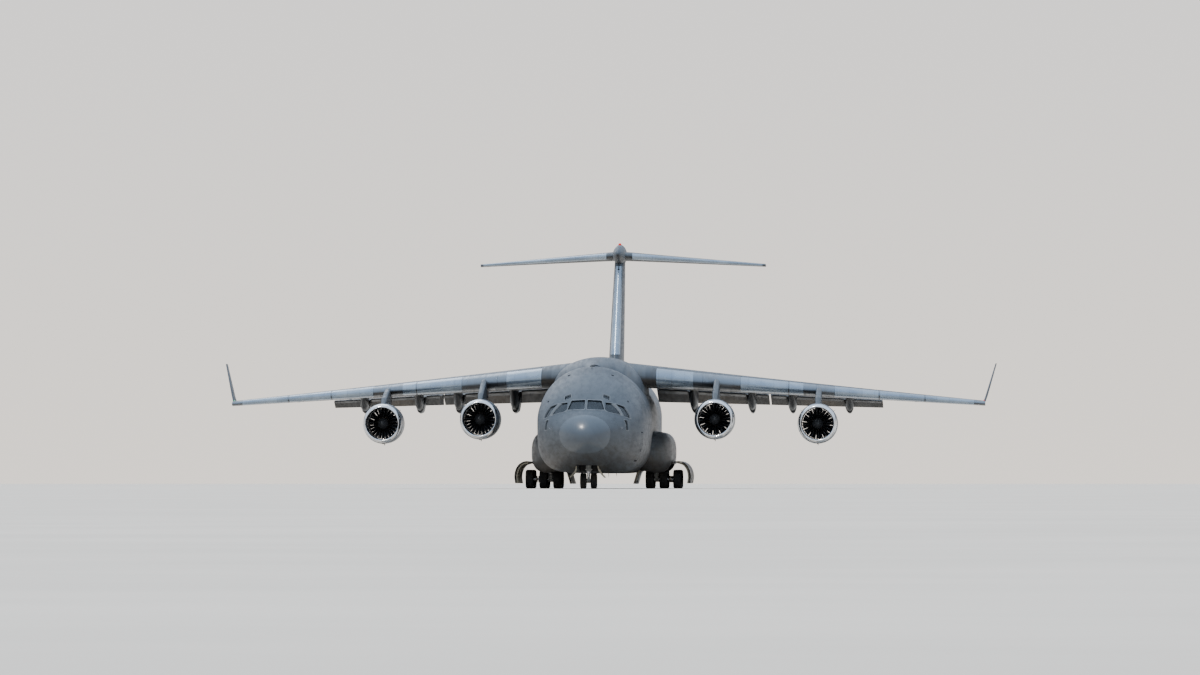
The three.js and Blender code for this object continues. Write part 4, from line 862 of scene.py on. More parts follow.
def probe(side):
    """An air data probe with its bent foot."""
    place, normal = surface_point(2.35, 0.12 if side == "left" else math.pi - 0.12)
    end = place + normal * 0.16
    return joined(rod(place - normal * 0.03, end, 0.022, 0.014, 12),
                  rod(end, end + Vector((0, -0.26, 0)), 0.014, 0.008, 12))


probes = [probe(side) for side in SIDES]
piece("air_probes", joined(*probes), "airframe", "steel")


# Crew door with its porthole and the steps on its inside
def crew_door_skin():
    skin = hull_shell(5.5, 9.0, 5.0, 9.5)
    return boolean(skin, [crew_block(0.035, 0.10, 0.06)], "INTERSECT")


piece("crew_door_skin", crew_door_skin(), "crew_door", "fuselage", ["crew_door"], sharp=38)
steps = []
DOOR_MIDDLE = (CREW_DOOR["start"] + CREW_DOOR["end"]) / 2
for height in (2.16, 2.46, 2.76, 3.06, 3.34):
    ring = fuselage_ring(DOOR_MIDDLE, WALL, 360)
    inner = min((p for p in ring if p[0] > 0), key=lambda p: abs(p[2] - height))[0]
    steps.append(block((inner - 0.20, 6.82, height - 0.015), (inner + 0.02, 7.52, height + 0.015)))
piece("crew_door_steps", joined(*steps), "crew_door", "floor_metal", bevel=0.003)
place, normal = surface_point(DOOR_MIDDLE, -0.36)
turn = normal.to_track_quat("Z", "Y")
porthole = turned([(0.0, -0.02), (0.105, -0.02), (0.105, 0.012), (0.085, 0.018), (0.0, 0.018)], 32, "Z")
porthole = ([tuple(place + turn @ Vector(v)) for v in porthole[0]], porthole[1])
# The porthole is a dark disc: painted shade of the door's inside
piece("crew_door_porthole", porthole, "crew_door", "dark")


# Rear hull, ramp, cargo door and the hold

TAIL_END = 48.5
RAMP_HALF, RAMP_START, DOOR_END = 2.45, 33.6, 45.4
SEAM_AT = {"station": 39.4, "height": 2.96, "lean": 0.45}
EDGE_GAP = 0.03
RISE = 2.2
RAMP_HINGE = {"station": 33.72, "height": 1.14, "lugs": 1.3, "pin": 0.03}
DOOR_HINGE = {"station": 45.25, "height": 5.24, "lugs": 0.5, "pin": 0.03}
LUG_ROOM, PIN_ROOM = 0.07, 0.004
FLOOR_TOP = 1.6


def seam_line(shift):
    """Upper and lower end of the joint between ramp and door, moved along the stations."""
    at, height, lean = SEAM_AT.values()
    return (at + shift - RISE * lean, height + RISE), (at + shift + 2 * lean, height - 2)


def ramp_block(gap, hinge_gap):
    """The ramp's space, smaller by a gap round it and at its hinge."""
    front = RAMP_START + hinge_gap
    upper, lower = seam_line(-gap)
    return side_prism([(front, 0.4), (front, 2.4), upper, lower], -RAMP_HALF + gap, RAMP_HALF - gap)


def door_half(station, gap=0.0):
    """Half the width of the cargo door at a station."""
    return 2.32 + (1.02 - 2.32) * (station - 39.0) / 7.4 - gap


def door_block(gap, hinge_gap):
    """The cargo door's space, smaller by a gap round it and at its hinge."""
    rear = DOOR_END - hinge_gap
    upper, lower = seam_line(gap)
    outline = [upper, lower, (rear + 0.6, 3.2), (rear - 0.25, 6.2)]
    return loft([[(side * door_half(y, gap), y, z) for y, z in outline] for side in (-1, 1)])


def hinge_lugs(hinge, aft, grow=0.0, clearance=0.0):
    """The two lugs and pins that carry the ramp or the door, or the space that these keep clear."""
    station, height, lugs, pin_radius = hinge.values()
    half, high = 0.07 + grow, 0.05 + grow
    ends = sorted((station - aft * 0.26, station + aft * (0.05 + grow)))
    parts = []
    for x in (-lugs, lugs):
        parts.append(block((x - half, ends[0], height - high), (x + half, ends[1], height + high)))
        parts.append(rod((x - 0.22, station, height), (x + 0.22, station, height), pin_radius + clearance,
                         sides=24))
    return parts


TAIL_SHELL = hull_shell(CENTER_END + GAP, TAIL_END, CENTER_END - 1, HOLLOW_END)
rear = boolean(TAIL_SHELL, [ramp_block(0, 0), door_block(-GAP, 0)])
piece("aft_skin",
      boolean(rear, hinge_lugs(RAMP_HINGE, 1) + hinge_lugs(DOOR_HINGE, -1), "UNION"),
      "airframe", "fuselage", ["aft_fuselage"], sharp=38)
ramp = boolean(boolean(TAIL_SHELL, [ramp_block(EDGE_GAP, 0.06)], "INTERSECT"),
               hinge_lugs(RAMP_HINGE, 1, LUG_ROOM, PIN_ROOM))
piece("ramp_skin", ramp, "cargo_ramp", "fuselage", ["cargo_ramp"], sharp=38)
door = boolean(boolean(TAIL_SHELL, [door_block(EDGE_GAP, 0.10)], "INTERSECT"),
               hinge_lugs(DOOR_HINGE, -1, LUG_ROOM, PIN_ROOM))
piece("door_skin", door, "cargo_door", "fuselage", ["cargo_door"], sharp=38)

# Beams and cross frames on the inside of the ramp and the door
inner_layer = boolean(hull(CENTER_END, TAIL_END - 1.2, WALL - 0.01),
                      [hollow(CENTER_END - 1, TAIL_END, WALL + 0.16)])


def ribs_and_beams(stations, sides, start, end, low, high):
    """Slabs across at the stations and along at the sides."""
    across = [block((-2.2, y - 0.045, low), (2.2, y + 0.045, high)) for y in stations]
    along = [block((x - 0.05, start, low), (x + 0.05, end, high)) for x in sides]
    return joined(*across, *along)


ramp_ribs = ribs_and_beams(np.arange(34.5, 38.4, 0.62), (-1.6, -0.6, 0.6, 1.6), 34.3, 38.5, 0.4, 5.0)
ramp_keep = boolean(ramp_ribs, [ramp_block(0.16, 0.5)], "INTERSECT")
piece("ramp_beams", boolean(inner_layer, [ramp_keep], "INTERSECT"), "cargo_ramp", "cabin")
door_ribs = ribs_and_beams(np.arange(40.3, 44.6, 0.72), (-0.8, 0.8), 39.6, 44.6, 1.0, 7.0)
door_keep = boolean(door_ribs, [door_block(0.16, 0.6)], "INTERSECT")
piece("door_beams", boolean(inner_layer, [door_keep], "INTERSECT"), "cargo_door", "cabin")

# Ring frames of the hold, above the floor and clear of the doors' swing
hold_layer = boolean(hull(7.0, 45.6, WALL - 0.01, 0.9, 72), [hull(6.0, 46.2, WALL + 0.13, 0.9, 72)])
slabs = joined(*[block((-4, y - 0.045, FLOOR_TOP + 0.03), (4, y + 0.045, 9))
                 for y in np.arange(8.1, 45.0, 1.3)])
door_swing = [(38.6, 1.0), (46.0, 1.0), (46.0, 6.3), (38.6, 6.3)]
swing = [block((-2.56, 33.2, 0), (2.56, 39.8, 4.6)),
         loft([[(s * door_half(y, -0.08), y, z) for y, z in door_swing] for s in (-1, 1)]),
         block((-4, 6.4, 1.0), (4, 7.8, 4.4))]
piece("hold_frames", boolean(boolean(hold_layer, [slabs], "INTERSECT"), swing), "airframe", "cabin")

# Floor rails and tie-down rings
rails = [block((x - 0.045, 7.6, FLOOR_TOP), (x + 0.045, 33.2, FLOOR_TOP + 0.035))
         for x in (-2.1, -1.2, -0.35, 0.35, 1.2, 2.1)]
tie_down = turned([(0.075, -0.012), (0.095, -0.012), (0.095, 0.012), (0.075, 0.012)], 12, "Z")
rings = []
for y in np.arange(8.4, 33.0, 1.55):
    for x in (-2.6, -1.65, 1.65, 2.6):
        rings.append(moved(tie_down, x, y, FLOOR_TOP + 0.012))
piece("floor_rails", joined(*rails), "airframe", "floor_metal")
piece("tie_down_rings", joined(*rings), "airframe", "steel")
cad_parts["cargo_floor"].data.materials.clear()
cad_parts["cargo_floor"].data.materials.append(PAINTS["floor_metal"])

# Row of side seats folded against the walls of the hold
seats = []
for side in SIDES:
    for y in np.arange(13.0, 31.0, 0.58):
        seats.append(on_side(block((2.62, y, 2.05), (2.78, y + 0.50, 2.95)), side))
        seats.append(on_side(block((2.80, y, 2.98), (2.86, y + 0.50, 3.55)), side))
piece("side_seats", joined(*seats), "airframe", "seat", bevel=0.012)

# Flight deck
DECK_TOP = 3.75
DECK_END = 6.55
deck_space = hollow(HOLLOW_START, CENTER_END, WALL + 0.045)
deck = boolean(block((-3.3, 2.7, DECK_TOP - 0.1), (3.3, DECK_END, DECK_TOP)), [deck_space], "INTERSECT")
wall = boolean(block((-3.3, DECK_END - 0.08, DECK_TOP - 0.1), (3.3, DECK_END, 7.2)), [deck_space],
               "INTERSECT")
wall = boolean(wall, [block((0.35, 6.3, DECK_TOP), (1.15, 6.7, 5.75))])
piece("deck_floor", joined(deck, wall), "airframe", "cabin", ["flight_deck"])
panel = side_prism([(2.78, DECK_TOP), (3.02, DECK_TOP), (3.10, 4.55), (2.92, 4.72), (2.62, 4.72),
                    (2.62, 4.60), (2.80, 4.5)], -1.45, 1.45)
hood = side_prism([(2.58, 4.72), (3.22, 4.76), (3.24, 4.80), (2.55, 4.78)], -1.5, 1.5)
console = side_prism([(3.02, DECK_TOP), (4.3, DECK_TOP), (4.3, 4.18), (3.4, 4.28), (3.05, 4.42)], -0.21,
                     0.21)
piece("instrument_panel", joined(panel, hood, console), "airframe", "seat", bevel=0.012)
screens = [block((x - 0.13, 3.10, 4.14), (x + 0.13, 3.125, 4.46))
           for x in (-1.15, -0.82, -0.42, 0.42, 0.82, 1.15)]
piece("panel_screens", joined(*screens), "airframe", "glass", bevel=0.003)


def cushion(low, high, crown=0.03):
    """A crowned closed form whose sides pull in between its corners."""
    (x0, y0, z0), (x1, y1, z1) = low, high
    count = 9
    grid = np.linspace(-1, 1, count)
    verts, faces = [], []
    for face_z in (1, -1):
        for v in grid:
            for u in grid:
                edge = (1 - u * u) * (1 - v * v)
                pull = 1 - 0.05 * (1 - v * v) * (abs(u) > 0.99) - 0.05 * (1 - u * u) * (abs(v) > 0.99)
                rim = 0.35 + 0.65 * min(1.0, (1 - u**4) * (1 - v**4) * 3)
                verts.append(((x0 + x1) / 2 + u * pull * (x1 - x0) / 2,
                              (y0 + y1) / 2 + v * pull * (y1 - y0) / 2,
                              (z0 + z1) / 2 + face_z * ((z1 - z0) / 2 * rim + crown * edge)))
    for layer in (0, 1):
        base = layer * count * count
        for j in range(count - 1):
            for i in range(count - 1):
                a = base + j * count + i
                quad = (a, a + 1, a + count + 1, a + count)
                faces.append(quad if layer == 0 else quad[::-1])
    border = [*range(count)] + [count * (j + 1) - 1 for j in range(1, count)]
    border += [count * count - 1 - i for i in range(1, count)]
    border += [count * j for j in range(count - 2, 0, -1)]
    for a, b in zip(border, border[1:] + border[:1]):
        faces.append((a + count * count, b + count * count, b, a))
    return verts, faces


def tilted(part, pivot, degrees):
    """A part turned about the X direction through a point."""
    turn = Matrix.Rotation(math.radians(degrees), 4, "X")
    return [tuple(turn @ (Vector(v) - Vector(pivot)) + Vector(pivot)) for v in part[0]], part[1]


SEAT_LEAN = -12
for name, x in (("pilot", 0.75), ("copilot", -0.75)):
    pan = joined(block((x - 0.25, 3.88, 4.02), (x + 0.25, 4.38, 4.08)),
                 block((x - 0.09, 4.0, DECK_TOP), (x + 0.09, 4.26, 4.03)),
                 tilted(block((x - 0.25, 4.40, 4.05), (x + 0.25, 4.45, 4.92)), (x, 4.42, 4.05), SEAT_LEAN),
                 block((x - 0.31, 3.95, 4.26), (x - 0.26, 4.35, 4.31)),
                 block((x + 0.26, 3.95, 4.26), (x + 0.31, 4.35, 4.31)))
    piece(f"{name}_seat_shell", pan, "airframe", "gear", bevel=0.006)
    base = cushion((x - 0.25, 3.90, 4.08), (x + 0.25, 4.36, 4.17))
    back = tilted(cushion((x - 0.24, 4.32, 4.10), (x + 0.24, 4.40, 4.86), 0.0), (x, 4.36, 4.1), SEAT_LEAN)
    head = tilted(cushion((x - 0.14, 4.32, 4.92), (x + 0.14, 4.40, 5.12), 0.0), (x, 4.36, 4.1), SEAT_LEAN)
    pads = piece(f"{name}_seat_cushions", joined(base, back, head), "airframe", "seat",
                 sharp=60)
    column = joined(rod((x, 3.55, DECK_TOP), (x, 3.50, 4.35), 0.03),
                    rod((x - 0.16, 3.48, 4.38), (x + 0.16, 3.48, 4.38), 0.022),
                    rod((x - 0.16, 3.48, 4.38), (x - 0.16, 3.46, 4.50), 0.022),
                    rod((x + 0.16, 3.48, 4.38), (x + 0.16, 3.46, 4.50), 0.022))
    piece(f"{name}_column", column, "airframe", "seat")

# Hump over the wing's centre: station, half_width, top
FAIRING = [[13.4, 0.9, 8.00], [15.0, 2.2, 8.22], [17.4, 2.95, 8.52], [21.5, 3.1, 8.62], [25.5, 2.95, 8.46],
           [29.5, 2.2, 8.18], [32.2, 0.9, 7.99]]
FAIRING_FOOT = 6.1


def fairing(grow=0.0, steps=49):
    """The hump over the wing's centre, as a closed body."""
    rings = []
    for station in np.linspace(FAIRING[0][0], FAIRING[-1][0], 72):
        width, top = smooth_table(FAIRING, station)[0]
        rings.append([
            ((width + grow) * math.cos(a), station, FAIRING_FOOT
             + (top + grow - FAIRING_FOOT) * math.sin(a) ** 0.8)
            for a in np.linspace(0, math.pi, steps)
        ])
    return loft(rings)


piece("fairing_skin", boolean(fairing(), [hull(0, TAIL_END, 0.004)]), "airframe", "wing",
      ["wing_fairing"], sharp=38)


# Wing

ANHEDRAL = math.tan(math.radians(4.1))
WING_TIP = 25.15
CAMBER, EDGE = 0.012, 0.0025
FLAP_SPANS = {"inboard": (3.62, 10.95), "outboard": (11.05, 18.42)}
FLAP_HINGE = {"chord": 0.68, "depth": 0.16}
FLAP_DROOP = 25
AILERON = {"start": 18.6, "end": 24.3, "hinge": 0.77}
COVE = [(0.625, -0.1), (0.895, 0.08), (1.1, 0.08), (1.1, -0.1)]
FAIRING_SPANS = (5.95, 9.75, 12.4, 16.15)
STEPS = np.concatenate([[0], (1 - np.cos(np.linspace(0, math.pi, 34)[1:])) / 2])


def half_thickness(part, thickness):
    """Half the height of a four digit airfoil at a share of its chord."""
    curve = (0.2969 * np.sqrt(part) - 0.126 * part - 0.3516 * part**2 + 0.2843 * part**3 - 0.1036 * part**4)
    return 5 * thickness * curve + EDGE * np.minimum(1, part / 0.02)


def airfoil(chord, thickness, camber=CAMBER, grow=0.0):
    """Points (along, across) round an airfoil from the trailing edge over the top and back below."""
    line = 4 * camber * STEPS * (1 - STEPS)
    half = half_thickness(STEPS, thickness)
    along = STEPS * (chord + 2 * grow) - grow
    top = np.stack([along, (line + half) * chord + grow], 1)
    low = np.stack([along, (line - half) * chord - grow], 1)
    if grow == 0:
        return np.vstack([top[::-1], low[1:]])
    return np.vstack([top[::-1], low])


def wing_at(x):
    """The wing's section at a side: where it starts, its chord, height and thickness."""
    lead = WING["lead"] + LEAD_SLOPE * x
    trail = WING["lead"] + WING["chord"] + TRAIL_SLOPE * x
    return {"x": x, "lead": lead, "chord": trail - lead, "height": WING["height"] - ANHEDRAL * x,
            "thickness": WING["root"] + x / WING_TIP * (WING["tip"] - WING["root"])}


def section_ring(at, points):
    return [(at["x"], at["lead"] + y, at["height"] + z) for y, z in points]


def chord_ring(x, outline, shift=0.0):
    """An outline in shares of the chord at a side of the wing."""
    at = wing_at(x)
    return section_ring(at, [(part * at["chord"] + shift, up * at["chord"]) for part, up in outline])


def wing_block(x0=1.2, x1=WING_TIP, grow=0.0, count=14):
    return loft([section_ring(wing_at(x), airfoil(wing_at(x)["chord"], wing_at(x)["thickness"], grow=grow))
                 for x in np.linspace(x0, x1, count)])


def cove(x0, x1, shift):
    """The space of a flap between two sides of the wing."""
    return loft([chord_ring(x, COVE, shift) for x in (x0, x1)])


def surface_nose(at, hinge):
    """Radius of a hinged surface's round nose."""
    return half_thickness(hinge, at["thickness"]) * at["chord"]


def flap_hinge(x):
    at = wing_at(x)
    return Vector((x, at["lead"] + FLAP_HINGE["chord"] * at["chord"],
                   at["height"] - FLAP_HINGE["depth"] * at["chord"]))


# Winglet: side, lead station, chord, height, thickness
WINGLET = [[25.00, 30.15, 2.55, 5.62, 0.06], [25.10, 30.50, 2.32, 5.82, 0.065],
           [25.22, 30.95, 2.05, 6.15, 0.07],
           [25.40, 31.57, 1.79, 6.76, 0.073], [25.87, 33.20, 1.10, 8.37, 0.08]]


def winglet():
    rings = []
    for x, lead, chord, z, thickness in WINGLET:
        rings.append([(x + across, lead + along, z) for along, across in airfoil(chord, thickness, 0.0)])
    return loft(rings)


def aileron_cut():
    rings = []
    hinge = AILERON["hinge"]
    for x in (AILERON["start"] - EDGE_GAP, AILERON["end"] + EDGE_GAP):
        rings.append(chord_ring(x, [(hinge, -0.1), (hinge, 0.1), (1.1, 0.1), (1.1, -0.1)],
                                -surface_nose(wing_at(x), hinge) - EDGE_GAP))
    return loft(rings)


# Hinge fairings under the flaps: chord share, half width, top, bottom (heights as shares of the chord)
CANOE_NOSE = [[0.38, 0.02, -0.045, -0.058], [0.40, 0.08, -0.04, -0.068], [0.45, 0.16, -0.035, -0.098],
              [0.5, 0.21, -0.03, -0.127], [0.56, 0.255, -0.025, -0.163], [0.6, 0.27, -0.02, -0.182],
              [0.65, 0.28, -0.015, -0.193], [0.69, 0.28, -0.01, -0.197]]
CANOE_TAIL = [[0.705, 0.275, -0.02, -0.165], [0.75, 0.27, -0.01, -0.19], [0.80, 0.25, -0.005, -0.172],
              [0.86, 0.22, 0, -0.15], [0.92, 0.185, 0, -0.12], [0.98, 0.14, 0, -0.088],
              [1.04, 0.085, -0.006, -0.055], [1.09, 0.03, -0.012, -0.022]]


def canoe(x, rows, sides=24):
    """A length of a hinge fairing at a side of the wing."""
    at = wing_at(x)
    rings = []
    for part, half, top, low in rows:
        high, low = at["height"] + top * at["chord"], at["height"] + low * at["chord"]
        knee = low + (high - low) * 0.42
        ring = [(half, high), (-half, high)]
        for angle in np.linspace(math.pi, 2 * math.pi, sides):
            ring.append((half * math.cos(angle), knee + (knee - low) * math.sin(angle)))
        rings.append([(x + across, at["lead"] + part * at["chord"], z) for across, z in ring])
    return loft(rings)


def hinge_bar(x, half, radius, sides=24):
    """A round bar on the flaps' hinge line."""
    along = (flap_hinge(WING_TIP) - flap_hinge(0)).normalized()
    middle = flap_hinge(x)
    return rod(middle - along * half, middle + along * half, radius, sides=sides)


def wing_fixed():
    """The port wing with its winglet and the spaces for its flaps and aileron."""
    body = boolean(wing_block(), [cove(3.0, FLAP_SPANS["outboard"][1] + EDGE_GAP, 0), aileron_cut()])
    body = boolean(body, [winglet()], "UNION")
    return boolean(body, [hull(10, 40, -GAP), fairing(GAP)])


def canoe_noses():
    """The fixed parts of the hinge fairings with their pins."""
    parts = []
    under = wing_block(grow=-0.02)
    for x in FAIRING_SPANS:
        slot = max(0.22, 0.03 * wing_at(x)["chord"])
        nose = boolean(canoe(x, CANOE_NOSE), [under, cove(x - 1, x + 1, -0.001), hinge_bar(x, 0.14, slot)])
        parts.append(nose)
        parts.append(hinge_bar(x, 0.22, 0.04))
    return joined(*parts)


def slats():
    """Leading edge panels, standing a little out of the wing, with a gap between neighbours."""
    spans = [(3.75, 6.1), (9.15, 12.2), (12.3, 13.2), (15.25, 18.1), (18.2, 21.1), (21.2, 24.4)]
    parts = []
    for x0, x1 in spans:
        rings = []
        for x in np.linspace(x0, x1, 5):
            at = wing_at(x)
            outer = airfoil(at["chord"], at["thickness"], grow=0.022)
            keep = [p for p in outer if p[0] < 0.12 * at["chord"]]
            inner = [(p[0] + 0.05 * at["chord"] * max(0, 1 - p[0] / (0.12 * at["chord"])), p[1] * 0.90)
                     for p in keep]
            rings.append(section_ring(at, list(keep) + inner[::-1]))
        parts.append(loft(rings))
    return parts


wing = wing_fixed()
noses = canoe_noses()
slat_parts = slats()
slots = [wing_block(3.7, 24.5, -0.03)]
slat_bodies = [boolean(s, slots) for s in slat_parts]


def drooped(part):
    """A piece drawn with its flap in, turned about the flap hinge line."""
    a, b = flap_hinge(FLAP_SPANS["inboard"][0]), flap_hinge(FLAP_SPANS["outboard"][1])
    turn = (Matrix.Translation(a) @ Matrix.Rotation(math.radians(-FLAP_DROOP), 4, (b - a).normalized())
            @ Matrix.Translation(-a))
    return turned_by(part, turn)


def canoe_space(x):
    """The space under the wing that a drooping fairing tail fills."""
    return loft([chord_ring(at, [(0.66, -0.25), (0.69, -0.056), (1.12, -0.005), (1.12, -0.25)])
                 for at in (x - 0.5, x + 0.5)])


def flap_panel(x0, x1):
    return boolean(wing_block(x0 - 0.4, x1 + 0.4, count=8), [cove(x0, x1, EDGE_GAP)], "INTERSECT")


def flap_tails(x0, x1):
    """The drooping tails of the hinge fairings, with the arms that reach the pins."""
    parts = []
    for x in FAIRING_SPANS:
        if not x0 < x < x1:
            continue
        space = boolean(block((x - 1, 0, 0), (x + 1, 60, 9)), [cove(x0, x1, EDGE_GAP), canoe_space(x)])
        tail = boolean(canoe(x, CANOE_TAIL), [space])
        hinge = flap_hinge(x)
        reach = 0.07 * wing_at(x)["chord"]
        web = block((x - 0.07, hinge.y, hinge.z - 0.09), (x + 0.07, hinge.y + reach, hinge.z + 0.09))
        arm = boolean(boolean(hinge_bar(x, 0.07, 0.13), [web], "UNION"), [hinge_bar(x, 0.5, 0.0445)])
        parts += [tail, arm]
    return joined(*parts)


# Shares of the chord, behind the leading edge and up
VANE_BRACKET = [(0.712, -0.062), (0.742, -0.060), (0.757, -0.022), (0.742, -0.026)]


def flap_vane(x0, x1):
    """The slim leading vane of a flap, open at each hinge fairing, with the brackets that carry it."""
    rings = []
    for x in np.linspace(x0 + 0.12, x1 - 0.12, 6):
        at = wing_at(x)
        chord = 0.085 * at["chord"]
        ring = []
        for along, up in airfoil(chord, 0.20, 0.05):
            ring.append((0.655 * at["chord"] + along, -0.064 * at["chord"] + up + 0.10 * along))
        rings.append(section_ring(at, ring))
    spaces = [block((x - 0.36, 0, 0), (x + 0.36, 60, 9)) for x in FAIRING_SPANS]
    brackets = []
    for x in np.linspace(x0 + 0.5, x1 - 0.5, 8):
        if min(abs(x - fairing) for fairing in FAIRING_SPANS) > 0.4:
            brackets.append(loft([chord_ring(at, VANE_BRACKET) for at in (x - 0.02, x + 0.02)]))
    return joined(boolean(loft(rings), spaces), *brackets)


def knob(profile, place, sides=24, axis="Y"):
    """A small turned body at a place."""
    return moved(turned(profile, sides, axis), *place)


def surface_ring(radius, reach, edge=0.02, steps=12):
    """A section with a round nose and a thin straight tail."""
    nose = [(radius * math.cos(a), radius * math.sin(a))
            for a in np.linspace(math.pi / 2, 3 * math.pi / 2, steps)]
    return [*nose, (reach, -edge), (reach, edge)]


def wick(x, y, z, lean=(0.02, 0.18, -0.02), front=0.03, radius=0.009):
    """A thin tapered rod that trails from an edge."""
    return rod((x, y - front, z), (x + lean[0], y + lean[1], z + lean[2]), radius, 0.004, 8)


def hinged_panel(section_at, hinge, spans, put):
    """A control surface behind its hinge line; put places (station, across, span) on the plane."""
    rings = []
    for span in spans:
        at = section_at(span)
        y = at["lead"] + hinge * at["chord"]
        ring = surface_ring(surface_nose(at, hinge), (1 - hinge) * at["chord"])
        rings.append([put(y + along, across, span) for along, across in ring])
    return loft(rings)


def on_wing(y, across, x):
    return x, y, wing_at(x)["height"] + across


def aileron_panel():
    spans = np.linspace(AILERON["start"], AILERON["end"], 6)
    return hinged_panel(wing_at, AILERON["hinge"], spans, on_wing)


def wing_details():
    """Static wicks, position lamp, amber lamp and fuel vents of the port wing."""
    wicks = []
    for x in np.linspace(19.0, 24.0, 6):
        s = wing_at(x)
        y, z = s["lead"] + s["chord"], s["height"]
        wicks.append(wick(x, y, z, (0.02, 0.22, -0.03), radius=0.010))
    for t in np.linspace(0.25, 0.9, 4):
        x, lead, chord, z, _ = [a + t * (b - a) for a, b in zip(WINGLET[2], WINGLET[4])]
        wicks.append(wick(x, lead + chord, z, (0, 0.18, 0.03), 0.02))
    lamp = knob([(0, -0.10), (0.035, -0.085), (0.055, -0.03), (0.06, 0.05), (0, 0.06)],
                (25.06, 30.62, 5.84))
    amber = knob([(0, -0.05), (0.03, -0.04), (0.04, 0.0), (0.03, 0.04), (0, 0.05)], (25.05, 32.0, 5.58), 20)
    vents = []
    for x, part in ((8.6, 0.30), (12.9, 0.33), (17.0, 0.30), (20.6, 0.34)):
        s = wing_at(x)
        y = s["lead"] + part * s["chord"]
        z = s["height"] + (4 * CAMBER * part * (1 - part) - half_thickness(part, s["thickness"])) * s["chord"]
        vents.append(moved(turned([(0, 0.03), (0.12, 0.03), (0.13, -0.004), (0, -0.012)], 24, "Z"), x, y,
                           z - 0.004))
    return joined(*wicks), lamp, amber, joined(*vents)


for side in SIDES:
    wicks, lamp, amber, vents = wing_details()
    position_light = "red_light" if side == "left" else "green_light"
    for name, part, paint, nodes, sharp in (
        (f"wing_{side}_skin", wing, "wing", [f"wing_{side}"], 32),
        (f"canoe_noses_{side}", noses, "canoe", (), 40),
        (f"slats_{side}", joined(*slat_bodies), "slat", (), 35),
        (f"wing_wicks_{side}", wicks, "dark", (), 32),
        (f"wing_vents_{side}", vents, "canoe", (), 32),
        (f"position_lamp_{side}", lamp, position_light, (), 32),
        (f"amber_lamp_{side}", amber, "amber_light", (), 32),
    ):
        piece(name, on_side(part, side), "airframe", paint, nodes, sharp)
    piece(f"aileron_{side}_skin", on_side(aileron_panel(), side), f"aileron_{side}", "tail",
          [f"aileron_{side}"])
    for place, span in FLAP_SPANS.items():
        body = f"flap_{side}_{place}"
        piece(f"{body}_skin", on_side(drooped(flap_panel(*span)), side), body, "flap", [body])
        piece(f"{body}_tails", on_side(drooped(flap_tails(*span)), side), body, "canoe",
              sharp=40)
        piece(f"{body}_vane", on_side(drooped(flap_vane(*span)), side), body, "canoe")


# Fin, rudder, stabilizer and elevators

FIN_FOOT = {"height": 7.1, "lead": 37.9, "chord": 9.4, "thickness": 0.105}
FIN_TOP = {"height": 15.6, "lead": 45.3, "chord": 5.2, "thickness": 0.13}
FIN_HINGE, ELEVATOR_HINGE = 0.72, 0.70
RUDDERS = {"lower": (8.35, 11.9), "upper": (11.96, 15.1)}
RUDDER_END_GAP = 0.1
STAB_CENTRE = {"height": 16.0, "lead": 45.2, "chord": 5.6, "thickness": 0.11}
STAB_TIP = {"height": 15.48, "lead": 50.89, "chord": 2.15, "thickness": 0.09}
STAB_SPAN = 9.905
ELEVATOR_SPAN = (0.75, 9.55)
# station, half_width, top, bottom
BULLET = [[43.6, 0.02, 16.07, 16.03], [43.66, 0.10, 16.17, 15.92], [43.85, 0.19, 16.28, 15.79],
          [44.2, 0.28, 16.40, 15.66], [45.4, 0.43, 16.64, 15.40], [47.4, 0.45, 16.79, 15.34],
          [49.4, 0.36, 16.66, 15.52], [50.5, 0.17, 16.38, 15.82], [51.0, 0.05, 16.18, 16.04]]


def between(a, b, part):
    return {key: a[key] + part * (b[key] - a[key]) for key in a}


def fin_at(z):
    at = between(FIN_FOOT, FIN_TOP, (z - FIN_FOOT["height"]) / (FIN_TOP["height"] - FIN_FOOT["height"]))
    return {**at, "height": z}


def stab_at(x):
    return between(STAB_CENTRE, STAB_TIP, abs(x) / STAB_SPAN)


def fin_ring(z, grow=0.0):
    at = fin_at(z)
    return [(across, at["lead"] + along, z) for along,
            across in airfoil(at["chord"], at["thickness"], 0.0, grow)]


def stab_ring(x, grow=0.0):
    at = stab_at(x)
    return section_ring({**at, "x": x}, airfoil(at["chord"], at["thickness"], 0.0, grow))


def on_fin(y, across, z):
    return across, y, z


def on_stab(y, across, x):
    return x, y, stab_at(x)["height"] + across


def hinge_cut(section_at, hinge, low, high, put):
    """The space behind a hinge line, from in front of the surface's round nose."""
    rings = []
    for span in (low, high):
        at = section_at(span)
        front = at["lead"] + hinge * at["chord"] - surface_nose(at, hinge) - EDGE_GAP
        rings.append([put(y, across, span) for y, across in ((front, -1), (front, 1), (56, 1), (56, -1))])
    return loft(rings)


def bullet(grow=0.0, sides=36):
    rings = []
    for station in [43.6, 43.62, *np.linspace(43.66, 50.9, 44), 51.0]:
        half, top, low = smooth_table(BULLET, station)[0]
        middle, tall = (top + low) / 2, (top - low) / 2 + grow
        rings.append([((half + grow) * math.cos(a), station, middle + tall * math.sin(a))
                      for a in round_angles(sides)])
    return loft(rings)


def dorsal():
    """The fillet ahead of the fin's foot."""
    rings = []
    for t in np.linspace(0, 1, 20):
        station = 33.2 + t * 6.6
        top = 7.62 + 1.33 * t**1.9
        half = 0.04 + 0.20 * t
        rings.append([(half * math.cos(a), station, 7.4 + (top - 7.4) * math.sin(a))
                      for a in np.linspace(0, math.pi, 13)])
    return loft(rings)


def rudder_point(z):
    at = fin_at(z)
    return Vector((0, at["lead"] + FIN_HINGE * at["chord"], z))


def elevator_point(x):
    at = stab_at(x)
    return Vector((x, at["lead"] + ELEVATOR_HINGE * at["chord"], at["height"]))


